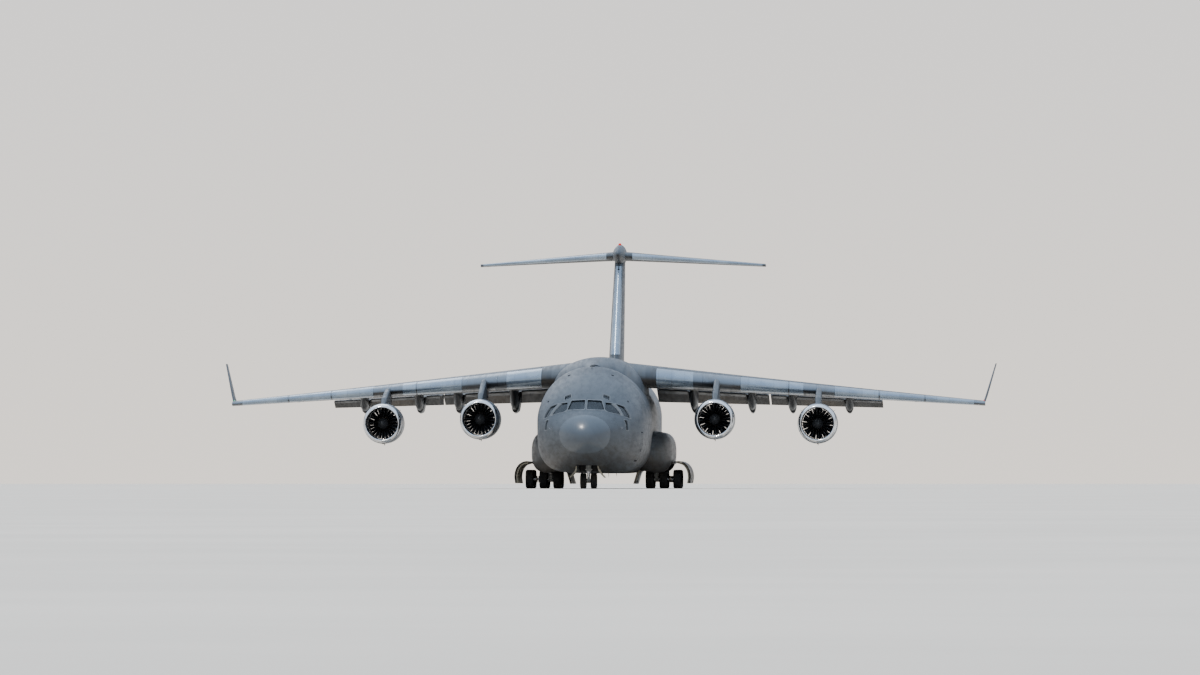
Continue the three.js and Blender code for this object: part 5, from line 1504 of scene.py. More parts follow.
def pin(point, end, outward, out=0.07):
    """A hinge pin at the end of a control surface."""
    return rod(point(end + outward * out), point(end - outward * 0.12), 0.022, sides=16)


RUDDER_FOOT, RUDDER_TOP = RUDDERS["lower"][0], RUDDERS["upper"][1]
rudder_cut = hinge_cut(fin_at, FIN_HINGE, RUDDER_FOOT - RUDDER_END_GAP, RUDDER_TOP + RUDDER_END_GAP, on_fin)
fin_heights = np.linspace(FIN_FOOT["height"], FIN_TOP["height"], 12)
fin_body = boolean(loft([fin_ring(z) for z in fin_heights]), [dorsal()], "UNION")
fin_body = boolean(fin_body, [hull(30, TAIL_END, -GAP), rudder_cut, bullet(GAP)])
pins = [pin(rudder_point, RUDDER_FOOT, -1, 0.16), pin(rudder_point, RUDDER_TOP, 1, 0.16)]
fin_body = boolean(fin_body, pins, "UNION")
piece("fin_skin", fin_body, "airframe", "tail", ["fin"])


def edge_strip(ring_at, spans, grow=0.014, inside=-0.02):
    """A thin layer that stands a little out of a surface."""
    outer = loft([ring_at(span, grow) for span in spans])
    inner_spans = (spans[0] - 0.5, *spans[1:-1], spans[-1] + 0.5)
    return boolean(outer, [loft([ring_at(span, inside) for span in inner_spans])])


def front_space(section_at, share, spans, put):
    """The space round the front of a surface, back to a share of its chord."""
    rings = []
    for span in spans:
        at = section_at(span)
        front, back = at["lead"] - 1, at["lead"] + share * at["chord"]
        rings.append([put(y, across, span) for y,
                      across in ((front, -1), (front, 1), (back, 1), (back, -1))])
    return loft(rings)


fin_front = edge_strip(fin_ring, np.linspace(9.1, 15.25, 6))
fin_front = boolean(fin_front, [front_space(fin_at, 0.055, (9.05, 15.3), on_fin)], "INTERSECT")
piece("fin_leading_edge", boolean(fin_front, [bullet(0.01)]), "airframe", "slat", sharp=35)

for name, (low, high) in RUDDERS.items():
    low = low if name == "lower" else RUDDERS["lower"][1] + 0.02
    panel = hinged_panel(fin_at, FIN_HINGE, (low, high), on_fin)
    if name == "lower":
        joint = rod(rudder_point(high - 0.1), rudder_point(high + 0.05), 0.022, sides=16)
        panel = boolean(panel, [joint], "UNION")
    piece(f"rudder_{name}_skin", panel, "rudder", "tail", [f"rudder_{name}"])

elevator_cut = hinge_cut(stab_at, ELEVATOR_HINGE, ELEVATOR_SPAN[0] - EDGE_GAP, ELEVATOR_SPAN[1] + EDGE_GAP,
                         on_stab)
stab_body = boolean(loft([stab_ring(x) for x in np.linspace(-STAB_SPAN, STAB_SPAN, 21)]),
                    [elevator_cut, mirrored(elevator_cut)])
stab_body = boolean(stab_body, [bullet()], "UNION")
pins = [pin(elevator_point, ELEVATOR_SPAN[0], -1), pin(elevator_point, ELEVATOR_SPAN[1], 1)]
stab_body = boolean(stab_body, pins + [mirrored(p) for p in pins], "UNION")
piece("stabilizer_skin", stab_body, "airframe", "tail", ["stabilizer"])
for side in SIDES:
    front = edge_strip(stab_ring, np.linspace(0.9, 9.7, 5), 0.012)
    front = boolean(front, [front_space(stab_at, 0.06, (0.85, 9.75), on_stab)], "INTERSECT")
    piece(f"stabilizer_leading_edge_{side}", on_side(front, side), "airframe", "slat",
          sharp=35)
    panel = hinged_panel(stab_at, ELEVATOR_HINGE, np.linspace(*ELEVATOR_SPAN, 5), on_stab)
    piece(f"elevator_{side}_skin", on_side(panel, side), f"elevator_{side}", "tail",
          [f"elevator_{side}"])
    wicks = []
    for x in np.linspace(3.0, 9.3, 6):
        s = stab_at(x)
        wicks.append(wick(x, s["lead"] + s["chord"], s["height"]))
    piece(f"elevator_wicks_{side}", on_side(joined(*wicks), side), f"elevator_{side}", "dark")
wicks = []
for z in np.linspace(12.3, 14.8, 4):
    s = fin_at(z)
    wicks.append(wick(0, s["lead"] + s["chord"], z, (0, 0.18, 0.02)))
piece("rudder_wicks", joined(*wicks), "rudder", "dark")
tail_lamp = knob([(0, -0.05), (0.05, -0.04), (0.055, 0.02), (0.03, 0.07), (0, 0.08)], (0, 50.98, 16.11))
piece("tail_lamp", tail_lamp, "airframe", "lamp")
beacon = knob([(0.0, -0.03), (0.0, 0.13), (0.08, 0.10), (0.11, 0.03), (0.11, -0.03)],
              (0, 46.6, 16.76), 24, "Z")
piece("tail_beacon", beacon, "airframe", "red_light")
port = knob([(0, -0.06), (0.07, -0.05), (0.085, 0.03), (0, 0.04)], (0, fin_at(15.0)["lead"] + 0.03, 15.0))
piece("fin_port", port, "airframe", "dark")


# Engines and pylons

ENGINES = {
    "inboard": {"side": ENGINE_SIDES["inboard"], "lip": 15.2, "height": 4.5},
    "outboard": {"side": ENGINE_SIDES["outboard"], "lip": 18.9, "height": 4.25},
}
# distance behind the lip, radius
COWL_OUTER = [[0.0, 1.10], [0.015, 1.128], [0.06, 1.165], [0.18, 1.212], [0.4, 1.26], [1.2, 1.315],
              [2.4, 1.305], [4.2, 1.12]]
COWL_INNER = [[0.0, 1.10], [0.015, 1.073], [0.05, 1.048], [0.15, 1.015], [0.35, 1.003], [0.6, 1.005],
              [1.3, 1.03], [3.0, 1.07], [4.2, 1.085]]
CORE = [(0, 1.16), (0.15, 1.16), (0.15, 1.36), (0.46, 1.36), (0.60, 1.7), (0.70, 2.2), (0.745, 2.8),
        (0.74, 3.2), (0.70, 4.1), (0.62, 5.1), (0.595, 5.1), (0.58, 4.78), (0.43, 4.78), (0.415, 5.0),
        (0.385, 5.2), (0.31, 5.5), (0.19, 5.82), (0.06, 6.0), (0, 6.0)]
LIP_END, CORE_SIDES = 0.40, 48
# The outside of the core, 4 mm larger and closed at its rear edge: the space that a pylon leaves for it
CORE_SPACE = [(r + 0.004 if r else 0, a) for r, a in CORE[:11]] + [(0, 5.1)]
PYLON_HALF = 0.19


def curve(rows, start, end, count):
    along = np.linspace(start, end, count)
    return [(float(r), float(a)) for a, r in zip(along, smooth_table(rows, along)[:, 0])]


def nacelle_parts():
    """Bare lip, painted cowl and dark duct lining, each a closed ring."""
    fine = [0.0, 0.004, 0.012, 0.025, 0.045, 0.08, 0.13, 0.20, 0.30]
    outer_front = [(float(smooth_table(COWL_OUTER, a)[0, 0]), a) for a in [*fine, LIP_END]]
    inner_front = [(float(smooth_table(COWL_INNER, a)[0, 0]), a) for a in fine[1:]]
    lip = [*outer_front, *inner_front[::-1]]
    middle = lambda a: float(smooth_table(COWL_INNER, a)[0, 0]) + 0.02
    cowl = [*curve(COWL_OUTER, LIP_END + 0.008, 4.2, 30),
            *[(middle(a), a) for a in np.linspace(4.2, 0.42, 20)]]
    liner = [*[(middle(a) - 0.002, a) for a in np.linspace(0.31, 4.19, 26)],
             *curve(COWL_INNER, 4.19, 0.31, 26)]
    return {"lip": turned([*lip, lip[0]], 96), "cowl": turned([*cowl, cowl[0]], 96),
            "liner": turned([*liner, liner[0]], 96)}


def pylon_rings(engine, grow=0.0):
    """The pylon of an engine as a closed body, or the space it takes."""
    side, lip, height = engine.values()
    at = wing_at(side)
    rear = at["lead"] + 0.42 * at["chord"]
    low = [[lip + 0.85, height + 1.2], [lip + 1.5, height + 1.12], [lip + 1.9, height + 0.3],
           [lip + 5.0, height + 0.3],
           [lip + 6.3, height + 0.95], [rear, at["height"] - 0.04 * at["chord"]]]
    top_y = at["lead"] - 0.02 * at["chord"]
    high = [[lip + 0.85, height + 1.2], [lip + 1.9, height + 1.72],
            [top_y, at["height"] + 0.03 * at["chord"]],
            [rear, at["height"] - 0.038 * at["chord"]]]
    lows, highs = np.array(low), np.array(high)
    rings = []
    for y in [lip + 0.86, *np.linspace(lip + 0.9, lip + 1.5, 6), *np.linspace(lip + 1.54, lip + 1.9, 5),
              *np.linspace(lip + 2.1, rear - 0.02, 26)]:
        bottom, top = np.interp(y, *lows.T) - grow, np.interp(y, *highs.T) + grow
        nose, tail = min(1.0, (y - lip - 0.80) / 1.3), min(1.0, (rear + 0.4 - y) / 3.2)
        half = PYLON_HALF * math.sqrt(max(0.02, 1 - (1 - nose) ** 2)) * (0.35 + 0.65 * tail) + grow
        soft = min(half * 0.9, (top - bottom) * 0.45)
        ring = []
        for cx, cz, start in ((half - soft, bottom + soft, -90), (half - soft, top - soft, 0),
                              (soft - half, top - soft, 90), (soft - half, bottom + soft, 180)):
            for a in np.radians(np.linspace(start, start + 90, 5)):
                ring.append((side + cx + soft * math.cos(a), y, cz + soft * math.sin(a)))
        rings.append(ring)
    return loft(rings)


def twisted_blade(root, tip, sections=7):
    """A blade from the hub outwards; root and tip give reach, half thickness, lean, radius and middle."""
    rings = []
    for t in np.linspace(0, 1, sections):
        reach, half, lean, radius, middle = [a + t * (b - a) for a, b in zip(root, tip)]
        ring = []
        for u, v in ((-1, 0), (-0.5, 0.9), (0.1, 1), (0.6, 0.7), (1, 0), (0.6, -0.5), (0.1, -0.6),
                     (-0.5, -0.4)):
            along, across = u * reach / 2, v * half + 0.06 * reach * (1 - u * u)
            ring.append((along * math.sin(lean) + across * math.cos(lean),
                         middle + along * math.cos(lean) - across * math.sin(lean), radius))
        rings.append(ring)
    return loft(rings)


def ring_of(part, count, offset=0.0):
    """Copies of a part in a ring about the engine's axis."""
    parts = []
    for i in range(count):
        parts.append(turned_by(part, Matrix.Rotation(2 * math.pi * i / count + offset, 4, "Y")))
    return joined(*parts)


SPINNER = [(0, 0.68), (0.03, 0.683), (0.08, 0.71), (0.14, 0.76), (0.21, 0.84), (0.28, 0.93), (0.335, 1.02),
           (0.36, 1.08), (0.36, 1.32), (0.158, 1.32), (0.158, 1.13), (0, 1.13)]
blade = twisted_blade((0.24, 0.020, 0.35, 0.33, 1.19), (0.27, 0.010, 1.02, 0.985, 1.18))
fan_blades = ring_of(blade, 24)
spinner = turned(SPINNER, 48)
vane = twisted_blade((0.22, 0.012, -0.25, 0.52, 1.72), (0.26, 0.010, -0.15, 1.035, 1.70), 3)
vanes = ring_of(vane, 36, 0.05)
swirl = path_tube([(r * math.cos(a), y, r * math.sin(a)) for r, y, a in
                   ((0.05, 0.695, 0.0), (0.10, 0.722, 0.7), (0.15, 0.765, 1.3), (0.20, 0.822, 1.8),
                    (0.24, 0.875, 2.2))], 0.010, 6)
nacelle = nacelle_parts()
core = turned(CORE, CORE_SIDES)
bands = joined(*[turned([(r, a), (r + 0.012, a), (r + 0.012, a + 0.05), (r, a + 0.05), (r, a)], CORE_SIDES)
                 for r, a in ((0.735, 2.75), (0.738, 3.3), (0.69, 4.15), (0.612, 5.04))])


def strake(side_angle):
    """A small upright blade on the shoulder of a nacelle."""
    rings = []
    for t in (-0.05, 1.0):
        ring = []
        for u, v in ((0, 0), (0.15, 0.6), (0.6, 1), (1, 0.3), (1, -0.3), (0.6, -1), (0.15, -0.6)):
            ring.append((0.014 * v, 0.78 + 0.28 * t + u * (0.95 - 0.45 * t), 1.27 + 0.17 * t))
        rings.append(ring)
    return turned_by(loft(rings), Matrix.Rotation(side_angle, 4, "Y"))


def engine_details():
    """Latches on the underside of the cowl, and a drain mast."""
    parts = [block((-0.035, a - 0.06, -1.335), (0.035, a + 0.06, -1.29)) for a in (0.8, 1.15, 1.5, 1.85)]
    parts.append(block((-0.02, 2.30, -1.42), (0.02, 2.48, -1.27)))
    return joined(*parts)


for side in SIDES:
    for name, engine in ENGINES.items():
        tag = f"{side}_{name}"
        x, lip, height = engine.values()
        place = lambda part: on_side(moved(part, x, lip, height), side)
        mount = pylon_rings(engine)
        wing_space = wing_block(x - 1, x + 1, 0.004, 5)
        mount = boolean(mount, [wing_space, moved(turned(CORE_SPACE, CORE_SIDES), x, lip, height)])
        piece(f"pylon_{tag}_skin", on_side(mount, side), "airframe", "pylon",
              [f"pylon_{tag}"], sharp=40)
        room = moved(pylon_rings(engine, 0.004), -x, -lip, -height)
        fan = f"fan_{tag}"
        strakes = joined(*[strake(math.radians(angle)) for angle in (52, -52)])
        for part_name, part, body, paint, slot, nodes, sharp, bevel in (
            (f"nacelle_{tag}_lip", nacelle["lip"], "airframe", "lip", "cowl", (), 40, 0),
            (f"nacelle_{tag}_cowl", boolean(nacelle["cowl"], [room]), "airframe", "cowl", "cowl",
             [f"nacelle_{tag}"], 40, 0),
            (f"nacelle_{tag}_liner", boolean(nacelle["liner"], [room]), "airframe", "liner", "cowl",
             (), 40, 0),
            (f"engine_{tag}_core", core, "airframe", "hot", "hot_metal", [f"engine_{tag}"], 35, 0),
            (f"engine_{tag}_bands", bands, "airframe", "steel", "hot_metal", (), 35, 0),
            (f"engine_{tag}_vanes", vanes, "airframe", "liner", "hot_metal", (), 50, 0),
            (f"{fan}_blades", fan_blades, fan, "fan", "fan_metal", [fan], 50, 0),
            (f"{fan}_spinner", spinner, fan, "dark", "fan_metal", (), 40, 0),
            (f"{fan}_swirl", swirl, fan, "steel", "fan_metal", (), 50, 0),
            (f"nacelle_{tag}_strakes", strakes, "airframe", "cowl", "cowl", (), 32, 0),
            (f"nacelle_{tag}_latches", engine_details(), "airframe", "canoe", "cowl", (), 32, 0.003),
        ):
            piece(part_name, place(part), body, paint, nodes, sharp, bevel)


# Gear pods, doors, legs and wheels

POD = [[18.6, 3.10, 2.60, 1.90], [18.68, 3.24, 2.74, 1.79], [18.9, 3.48, 2.93, 1.63],
       [19.3, 3.80, 3.20, 1.40], [20.6, 4.35, 3.60, 1.10], [22.4, 4.62, 3.75, 1.03],
       [29.2, 4.62, 3.75, 1.03], [31.4, 4.20, 3.40, 1.16], [33.0, 3.42, 2.80, 1.58],
       [33.9, 2.90, 2.42, 1.92]]
POD_INNER, POD_ROUND = 2.3, 1.1
BAY = {"start": 22.95, "end": 28.85, "inner": 2.2, "top": 2.35}
MAIN_AXLES = {"front": 24.45, "rear": 27.35}
MAIN_WHEELS, MAIN_POST, NOSE_AXLE = (3.05, 3.96, 4.87), 3.505, 5.86
# The CAD's tyres have 16 sides and stand on a flat one, at this share of their radius from the axle
FACET = math.cos(math.pi / 16)
MAIN_TYRE = {"radius": 0.635 * FACET, "width": 0.533, "rim": 0.30}
NOSE_TYRE = {"radius": 0.508 * FACET, "width": 0.406, "rim": 0.22}
STEER_HEIGHT, DOOR_THICKNESS = 1.32, 0.05


def pod_body(grow=0.0, corners=32):
    """The port gear pod as a closed body."""
    rings = []
    for station in [18.6, 18.63, *np.linspace(18.68, 19.3, 8), *np.linspace(19.5, 33.9, 60)]:
        side, top, low = smooth_table(POD, station)[0] + [grow, grow, -grow]
        middle, soft = (top + low) / 2, min(POD_ROUND, side - POD_INNER - 0.1)
        ring = [(POD_INNER, top + 0.5), (POD_INNER, low + 0.2)]
        for a in np.linspace(-math.pi / 2, math.pi / 2, corners):
            c, s = math.cos(a), math.sin(a)
            up = (top - low) / 2 * math.copysign(abs(s) ** 0.75, s)
            ring.append((side - soft + soft * abs(c) ** 0.75, middle + up))
        rings.append([(x, station, z) for x, z in ring])
    return loft(rings)


def bay_space():
    """The opening of the port wheel bay."""
    start, end, inner, top = BAY.values()
    outline = [(inner, 0), (inner, top), (4.2, top), (4.45, 1.62), (5.4, 1.55), (5.4, 0)]
    return front_prism(outline, start, end)


HULL_MIDDLE = hull(16, 36, -GAP)
pod = boolean(pod_body(), [HULL_MIDDLE, bay_space()])
pod = boolean(pod, [jack_pad(3.5, 30.1, 0.97)], "UNION")


def curved_plate(outline, y0, y1, thickness=DOOR_THICKNESS, steps=6):
    """A plate along a smooth front view line; the thickness goes to its left."""
    rows = [[i, *p] for i, p in enumerate(outline)]
    line = smooth_curve(rows, np.linspace(0, len(outline) - 1, (len(outline) - 1) * steps + 1))
    outer = []
    for i, p in enumerate(line):
        a, b = line[max(i - 1, 0)], line[min(i + 1, len(line) - 1)]
        run = math.hypot(b[0] - a[0], b[1] - a[1])
        outer.append((p[0] - thickness * (b[1] - a[1]) / run, p[1] + thickness * (b[0] - a[0]) / run))
    return front_prism([*line, *outer[::-1]], y0, y1)


def shifted(outline, x, z):
    return [(a + x, b + z) for a, b in outline]


def smooth_curve(rows, at):
    """A rounded curve through points given as (parameter, x, z)."""
    points = np.asarray(rows, float)[:, 1:]
    result = []
    for t in at:
        i = min(int(t), len(points) - 2)
        u = t - i
        p0, p1, p2, p3 = points[max(i - 1, 0)], points[i], points[i + 1], points[min(i + 2, len(points) - 1)]
        q = 0.5 * (2 * p1 + (p2 - p0) * u + (2 * p0 - 5 * p1 + 4 * p2 - p3) * u**2
                   + (3 * p1 - p0 - 3 * p2 + p3) * u**3)
        result.append((float(q[0]), float(q[1])))
    return result


OUTER_DOOR = [(4.46, 1.62), (4.98, 1.76), (5.4, 1.62), (5.66, 1.28), (5.76, 0.82), (5.7, 0.36)]
INNER_DOOR = [(2.44, 1.75), (2.38, 1.2), (2.28, 0.98), (2.08, 0.32)]
NOSE_DOOR = [(0.66, 1.75), (0.72, 1.16), (1.06, 0.72)]
INNER_SPANS = [(BAY["start"] + 0.05, 25.7), (25.95, BAY["end"] - 0.05)]
door_y = (BAY["start"] + 0.1, BAY["end"] - 0.1)
inset_pod = pod_body(0.004, 20)
outer_door = boolean(curved_plate(OUTER_DOOR, *door_y), [inset_pod])
outer_tube = boolean(rod((4.56, door_y[0], 1.68), (4.56, door_y[1], 1.68), 0.07), [inset_pod])
outer_ribs = [curved_plate([(x * 0.985 + 0.02, z - 0.02) for x, z in OUTER_DOOR[1:]], y, y + 0.05, -0.08, 4)
              for y in np.arange(door_y[0] + 0.15, door_y[1] - 0.1, 0.58)]
outer_lining = boolean(joined(*outer_ribs), [inset_pod])
inner_door = boolean(joined(*[curved_plate(INNER_DOOR, *span) for span in INNER_SPANS]), [HULL_MIDDLE])
inner_tube = boolean(rod((2.42, INNER_SPANS[0][0], 1.17), (2.42, INNER_SPANS[1][1], 1.17), 0.05),
                     [HULL_MIDDLE])
inner_outline = shifted(INNER_DOOR, -0.052, -0.002)
inner_skin = [curved_plate(inner_outline, a - 0.01, b + 0.01, 0.014) for a, b in INNER_SPANS]
inner_skin = boolean(joined(*inner_skin), [HULL_MIDDLE])
inner_ribs = []
for a, b in INNER_SPANS:
    for y in np.arange(a + 0.2, b - 0.1, 0.55):
        inner_ribs.append(curved_plate(shifted(INNER_DOOR[1:], 0.028, 0), y, y + 0.045, -0.05, 3))
inner_ribs = boolean(joined(*inner_ribs), [HULL_MIDDLE])
hull_front = hull(1, 9, -GAP)
nose_door = boolean(curved_plate(NOSE_DOOR, 3.95, 5.6), [hull_front])
nose_skin_plate = boolean(curved_plate(shifted(NOSE_DOOR, 0.052, -0.012), 3.94, 5.61, -0.014), [hull_front])
nose_ribs = [curved_plate(shifted(NOSE_DOOR[1:], -0.012, 0.01), y, y + 0.04, 0.045, 4)
             for y in np.arange(4.15, 5.5, 0.36)]
nose_ribs = boolean(joined(*nose_ribs), [hull_front])


def tyre(size, grooves=4):
    """A tyre with its tread grooves, about X."""
    r, half, rim = size["radius"], size["width"] / 2, size["rim"]
    tall = r - rim
    wall = [(rim, 0.60), (rim + 0.03, 0.76), (rim + 0.22 * tall, 0.93), (rim + 0.45 * tall, 1.0),
            (rim + 0.66 * tall, 0.985), (rim + 0.82 * tall, 0.92), (rim + 0.92 * tall, 0.83),
            (rim + 0.975 * tall, 0.72), (r, 0.58)]
    tread = []
    for place in np.linspace(-0.45, 0.45, grooves):
        tread += [(r, place - 0.035), (r - 0.014, place - 0.028), (r - 0.014, place + 0.028),
                  (r, place + 0.035)]
    ring = [(a, -b * half) for a, b in wall] + [(a, b * half) for a, b in [*tread, *wall[::-1]]]
    return turned([*ring, ring[0]], 72, "X")


def wheel_rim(size):
    """A wheel's hub and rim, about X."""
    half, rim = size["width"] / 2, size["rim"]
    side = [(0, 0.50), (0.055, 0.50), (0.075, 0.40), (0.13, 0.34), (rim - 0.065, 0.26), (rim - 0.045, 0.52),
            (rim - 0.02, 0.66), (rim + 0.016, 0.68), (rim + 0.016, 0.60), (rim - 0.004, 0.55)]
    return turned([(a, -b * half) for a, b in side] + [(a, b * half) for a, b in side[::-1]], 48, "X")


def wheel_bolts(size, way):
    """Nuts round the hub, and the wheel cap, on one face."""
    half, rim = size["width"] / 2, size["rim"]
    x, parts = way * 0.30 * half, []
    for i in range(12):
        a = 2 * math.pi * i / 12
        y, z = (rim - 0.11) * math.cos(a), (rim - 0.11) * math.sin(a)
        parts.append(rod((x, y, z), (x + way * 0.03, y, z), 0.013, sides=6))
    parts.append(rod((way * 0.45 * half, 0, 0), (way * 0.62 * half, 0, 0), 0.05, 0.035, 20))
    return joined(*parts)


def wheel_holes(size, way):
    """Dark discs in the vents of a wheel's rim, painted shade of the holes, on one face."""
    half, rim = size["width"] / 2, size["rim"]
    x, parts = way * 0.265 * half, []
    for i in range(9):
        a = 2 * math.pi * (i + 0.5) / 9
        y, z = (rim - 0.085) * math.cos(a), (rim - 0.085) * math.sin(a)
        parts.append(rod((x - way * 0.02, y, z), (x + way * 0.008, y, z), 0.020, sides=14))
    return joined(*parts)


def wheel_set(name, size, places, station, axle):
    """Wheels on one axle: tyres, rims, nuts, vents and the axle."""
    z = size["radius"]
    put = lambda part: joined(*[moved(part, x, station, z) for x in places])
    piece(f"{name}_tyres", put(tyre(size)), name, "rubber", [name], sharp=50)
    piece(f"{name}_rims", put(joined(wheel_rim(size))), name, "gear", sharp=40)
    bolts = joined(wheel_bolts(size, 1), wheel_bolts(size, -1))
    holes = joined(wheel_holes(size, 1), wheel_holes(size, -1))
    piece(f"{name}_nuts", put(bolts), name, "steel", sharp=40)
    piece(f"{name}_vents", put(holes), name, "dark", sharp=40)
    low, high = min(places), max(places)
    piece(f"{name}_axle", rod((low, station, z), (high, station, z), axle, sides=24), name, "steel",
          sharp=40)


def main_leg(station):
    """Shock strut, its chrome piston, the torque links with the brace, and the hoses."""
    z, x = MAIN_TYRE["radius"], MAIN_POST
    lean = 1 if station == MAIN_AXLES["front"] else -1
    cylinder = turned([(0, 1.36), (0.20, 1.36), (0.235, 1.39), (0.235, 1.50), (0.215, 1.54), (0.215, 1.90),
                       (0.235, 1.93), (0.235, 2.0), (0.215, 2.04), (0.215, 2.30), (0, 2.30)], 32, "Z")
    housing = boolean(rod((x - 0.13, station, z), (x + 0.13, station, z), 0.19, sides=32),
                      [block((x - 0.12, station - 0.12, z), (x + 0.12, station + 0.12, 1.0))], "UNION")
    housing = boolean(housing, [rod((2.9, station, z), (5.1, station, z), 0.0885, sides=24)])
    body = joined(moved(cylinder, x, station, 0), housing)
    piston = rod((x, station, 0.98), (x, station, 1.40), 0.125, sides=32)
    links = []
    for way in (-1, 1):
        knee = (station - lean * 0.42, 1.12)
        for start, end in (((station - lean * 0.13, 0.86), knee), ((station - lean * 0.20, 1.44), knee)):
            links.append(rod((x + way * 0.075, *start), (x + way * 0.03, *end), 0.028, 0.022, 10))
    links.append(rod((x - 0.10, station - lean * 0.42, 1.12), (x + 0.10, station - lean * 0.42, 1.12), 0.03,
                     sides=12))
    brace = joined(rod((x, station + lean * 0.12, 1.56), (x, station + lean * 1.15, 2.34), 0.06, sides=16),
                   rod((x, station + lean * 0.44, 1.805), (x, station + lean * 0.80, 2.08), 0.085,
                       sides=20))
    hoses = []
    for way in (-1, 1):
        hoses.append(path_tube([(x + way * 0.09, station + lean * 0.10, 0.80),
                                (x + way * 0.12, station + lean * 0.26, 0.95),
                                (x + way * 0.11, station + lean * 0.30, 1.18),
                                (x + way * 0.10, station + lean * 0.25, 1.42),
                                (x + way * 0.10, station + lean * 0.24, 2.2)], 0.014, 8))
    return body, piston, joined(*links, brace), joined(*hoses)


BRAKE = [(0.092, -0.06), (0.20, -0.06), (0.22, -0.045), (0.22, 0.045), (0.20, 0.06), (0.092, 0.06),
         (0.092, -0.06)]


def main_brake(station):
    """The brake disc between the middle and the outer tyre."""
    return moved(turned(BRAKE, 32, "X"), sum(MAIN_WHEELS[1:]) / 2, station, MAIN_TYRE["radius"])


def bay_frames():
    """Cross frames on the roof of the port wheel bay, left out at the legs."""
    parts = []
    for y in np.arange(BAY["start"] + 0.35, BAY["end"] - 0.2, 0.62):
        if min(abs(y - s) for s in MAIN_AXLES.values()) > 0.32:
            parts.append(block((3.46, y - 0.03, BAY["top"] - 0.10), (4.22, y + 0.03, BAY["top"] - 0.004)))
    return joined(*parts)


def pipe_runs():
    """Pipes along the roof of the port wheel bay."""
    parts = []
    for x, drop in ((3.95, 0.13), (4.03, 0.13), (4.14, 0.16)):
        parts.append(rod((x, BAY["start"] + 0.02, BAY["top"] - drop),
                         (x, BAY["end"] - 0.02, BAY["top"] - drop), 0.018, sides=10))
    return joined(*parts)


for side in SIDES:
    put = lambda part: on_side(part, side)
    for name, part, paint, slot, nodes, sharp in (
        (f"pod_{side}_skin", pod, "pod", "wing_paint", [f"gear_pod_{side}"], 36),
        (f"outer_door_{side}_skin", joined(outer_door, outer_tube), "pod_brown", "wing_paint",
         [f"outer_gear_door_{side}"], 40),
        (f"outer_door_{side}_ribs", outer_lining, "cream", "wing_paint", (), 32),
        (f"inner_doors_{side}_lining", joined(inner_door, inner_tube), "cream", "door_lining",
         [f"inner_gear_doors_{side}"], 40),
        (f"inner_doors_{side}_skin", inner_skin, "pod", "door_lining", (), 40),
        (f"inner_doors_{side}_ribs", inner_ribs, "cream", "door_lining", (), 32),
        (f"nose_door_{side}_lining", nose_door, "cream", "door_lining", [f"nose_gear_door_{side}"], 40),
        (f"nose_door_{side}_skin", nose_skin_plate, "pod", "door_lining", (), 40),
        (f"nose_door_{side}_ribs", nose_ribs, "cream", "door_lining", (), 32),
        (f"bay_frames_{side}", bay_frames(), "cream", "wing_paint", (), 32),
        (f"bay_pipes_{side}", pipe_runs(), "steel", "wing_paint", (), 32),
    ):
        piece(name, put(part), "airframe", paint, nodes, sharp)
    for place, station in MAIN_AXLES.items():
        tag = f"{side}_{place}"
        body, piston, links, hoses = main_leg(station)
        for name, part, paint, nodes, sharp in (
            (f"main_leg_{tag}", body, "gear", [f"main_strut_{tag}"], 36),
            (f"main_piston_{tag}", piston, "steel", (), 36),
            (f"main_links_{tag}", links, "gear", (), 36),
            (f"main_hoses_{tag}", hoses, "dark", (), 32),
        ):
            piece(name, put(part), "airframe", paint, nodes, sharp)
        name = f"main_wheels_{tag}"
        wheel_set(name, MAIN_TYRE, [SIDES[side] * x for x in MAIN_WHEELS], station, 0.085)
        piece(f"{name}_brake", put(main_brake(station)), name, "hot", sharp=36)

# Nose leg
z = NOSE_TYRE["radius"]
upper = turned([(0, STEER_HEIGHT + 0.002), (0.15, STEER_HEIGHT + 0.002), (0.175, 1.36), (0.175, 1.52),
                (0.15, 1.56), (0.15, 2.49), (0, 2.49)], 32, "Z")
brace = joined(rod((0, NOSE_AXLE - 0.1, 1.6), (0, 4.35, 2.44), 0.045, sides=16),
               rod((0, 5.5, 1.79), (0, 4.9, 2.14), 0.068, sides=20),
               rod((-0.5, 5.5, 2.40), (0.5, 5.5, 2.40), 0.05, sides=16),
               rod((-0.42, 5.55, 2.38), (-0.12, NOSE_AXLE - 0.04, 1.62), 0.03, sides=12),
               rod((0.42, 5.55, 2.38), (0.12, NOSE_AXLE - 0.04, 1.62), 0.03, sides=12))
bar = block((-0.30, NOSE_AXLE - 0.2, 1.69), (0.30, NOSE_AXLE - 0.12, 1.75))
piece("nose_leg_upper", joined(moved(upper, 0, NOSE_AXLE, 0), brace, bar), "airframe", "gear",
      ["nose_strut"], sharp=36)
SHADE = [(0, 0.0), (0.06, 0.0), (0.098, 0.06), (0.104, 0.14), (0.094, 0.14), (0.05, 0.07), (0, 0.06)]
LENS = [(0, 0.118), (0.05, 0.122), (0.092, 0.132), (0.092, 0.137), (0.05, 0.130), (0, 0.126)]
lamps, lenses = [], []
for x in (-0.28, 0.28, 0.0):
    lamp_place = (x, NOSE_AXLE - 0.16, 2.02 if x == 0 else 1.72)
    for rows, parts in ((SHADE, lamps), (LENS, lenses)):
        parts.append(knob([(r, -a) for r, a in rows], lamp_place, 32))
piece("nose_lamp_shells", joined(*lamps), "airframe", "gear", sharp=36)
piece("nose_lamp_lenses", joined(*lenses), "airframe", "lamp", sharp=36)
bay = [block((-0.60, y - 0.025, 2.40), (0.60, y + 0.025, 2.497)) for y in np.arange(4.0, 6.4, 0.4)
       if abs(y - NOSE_AXLE) > 0.2]
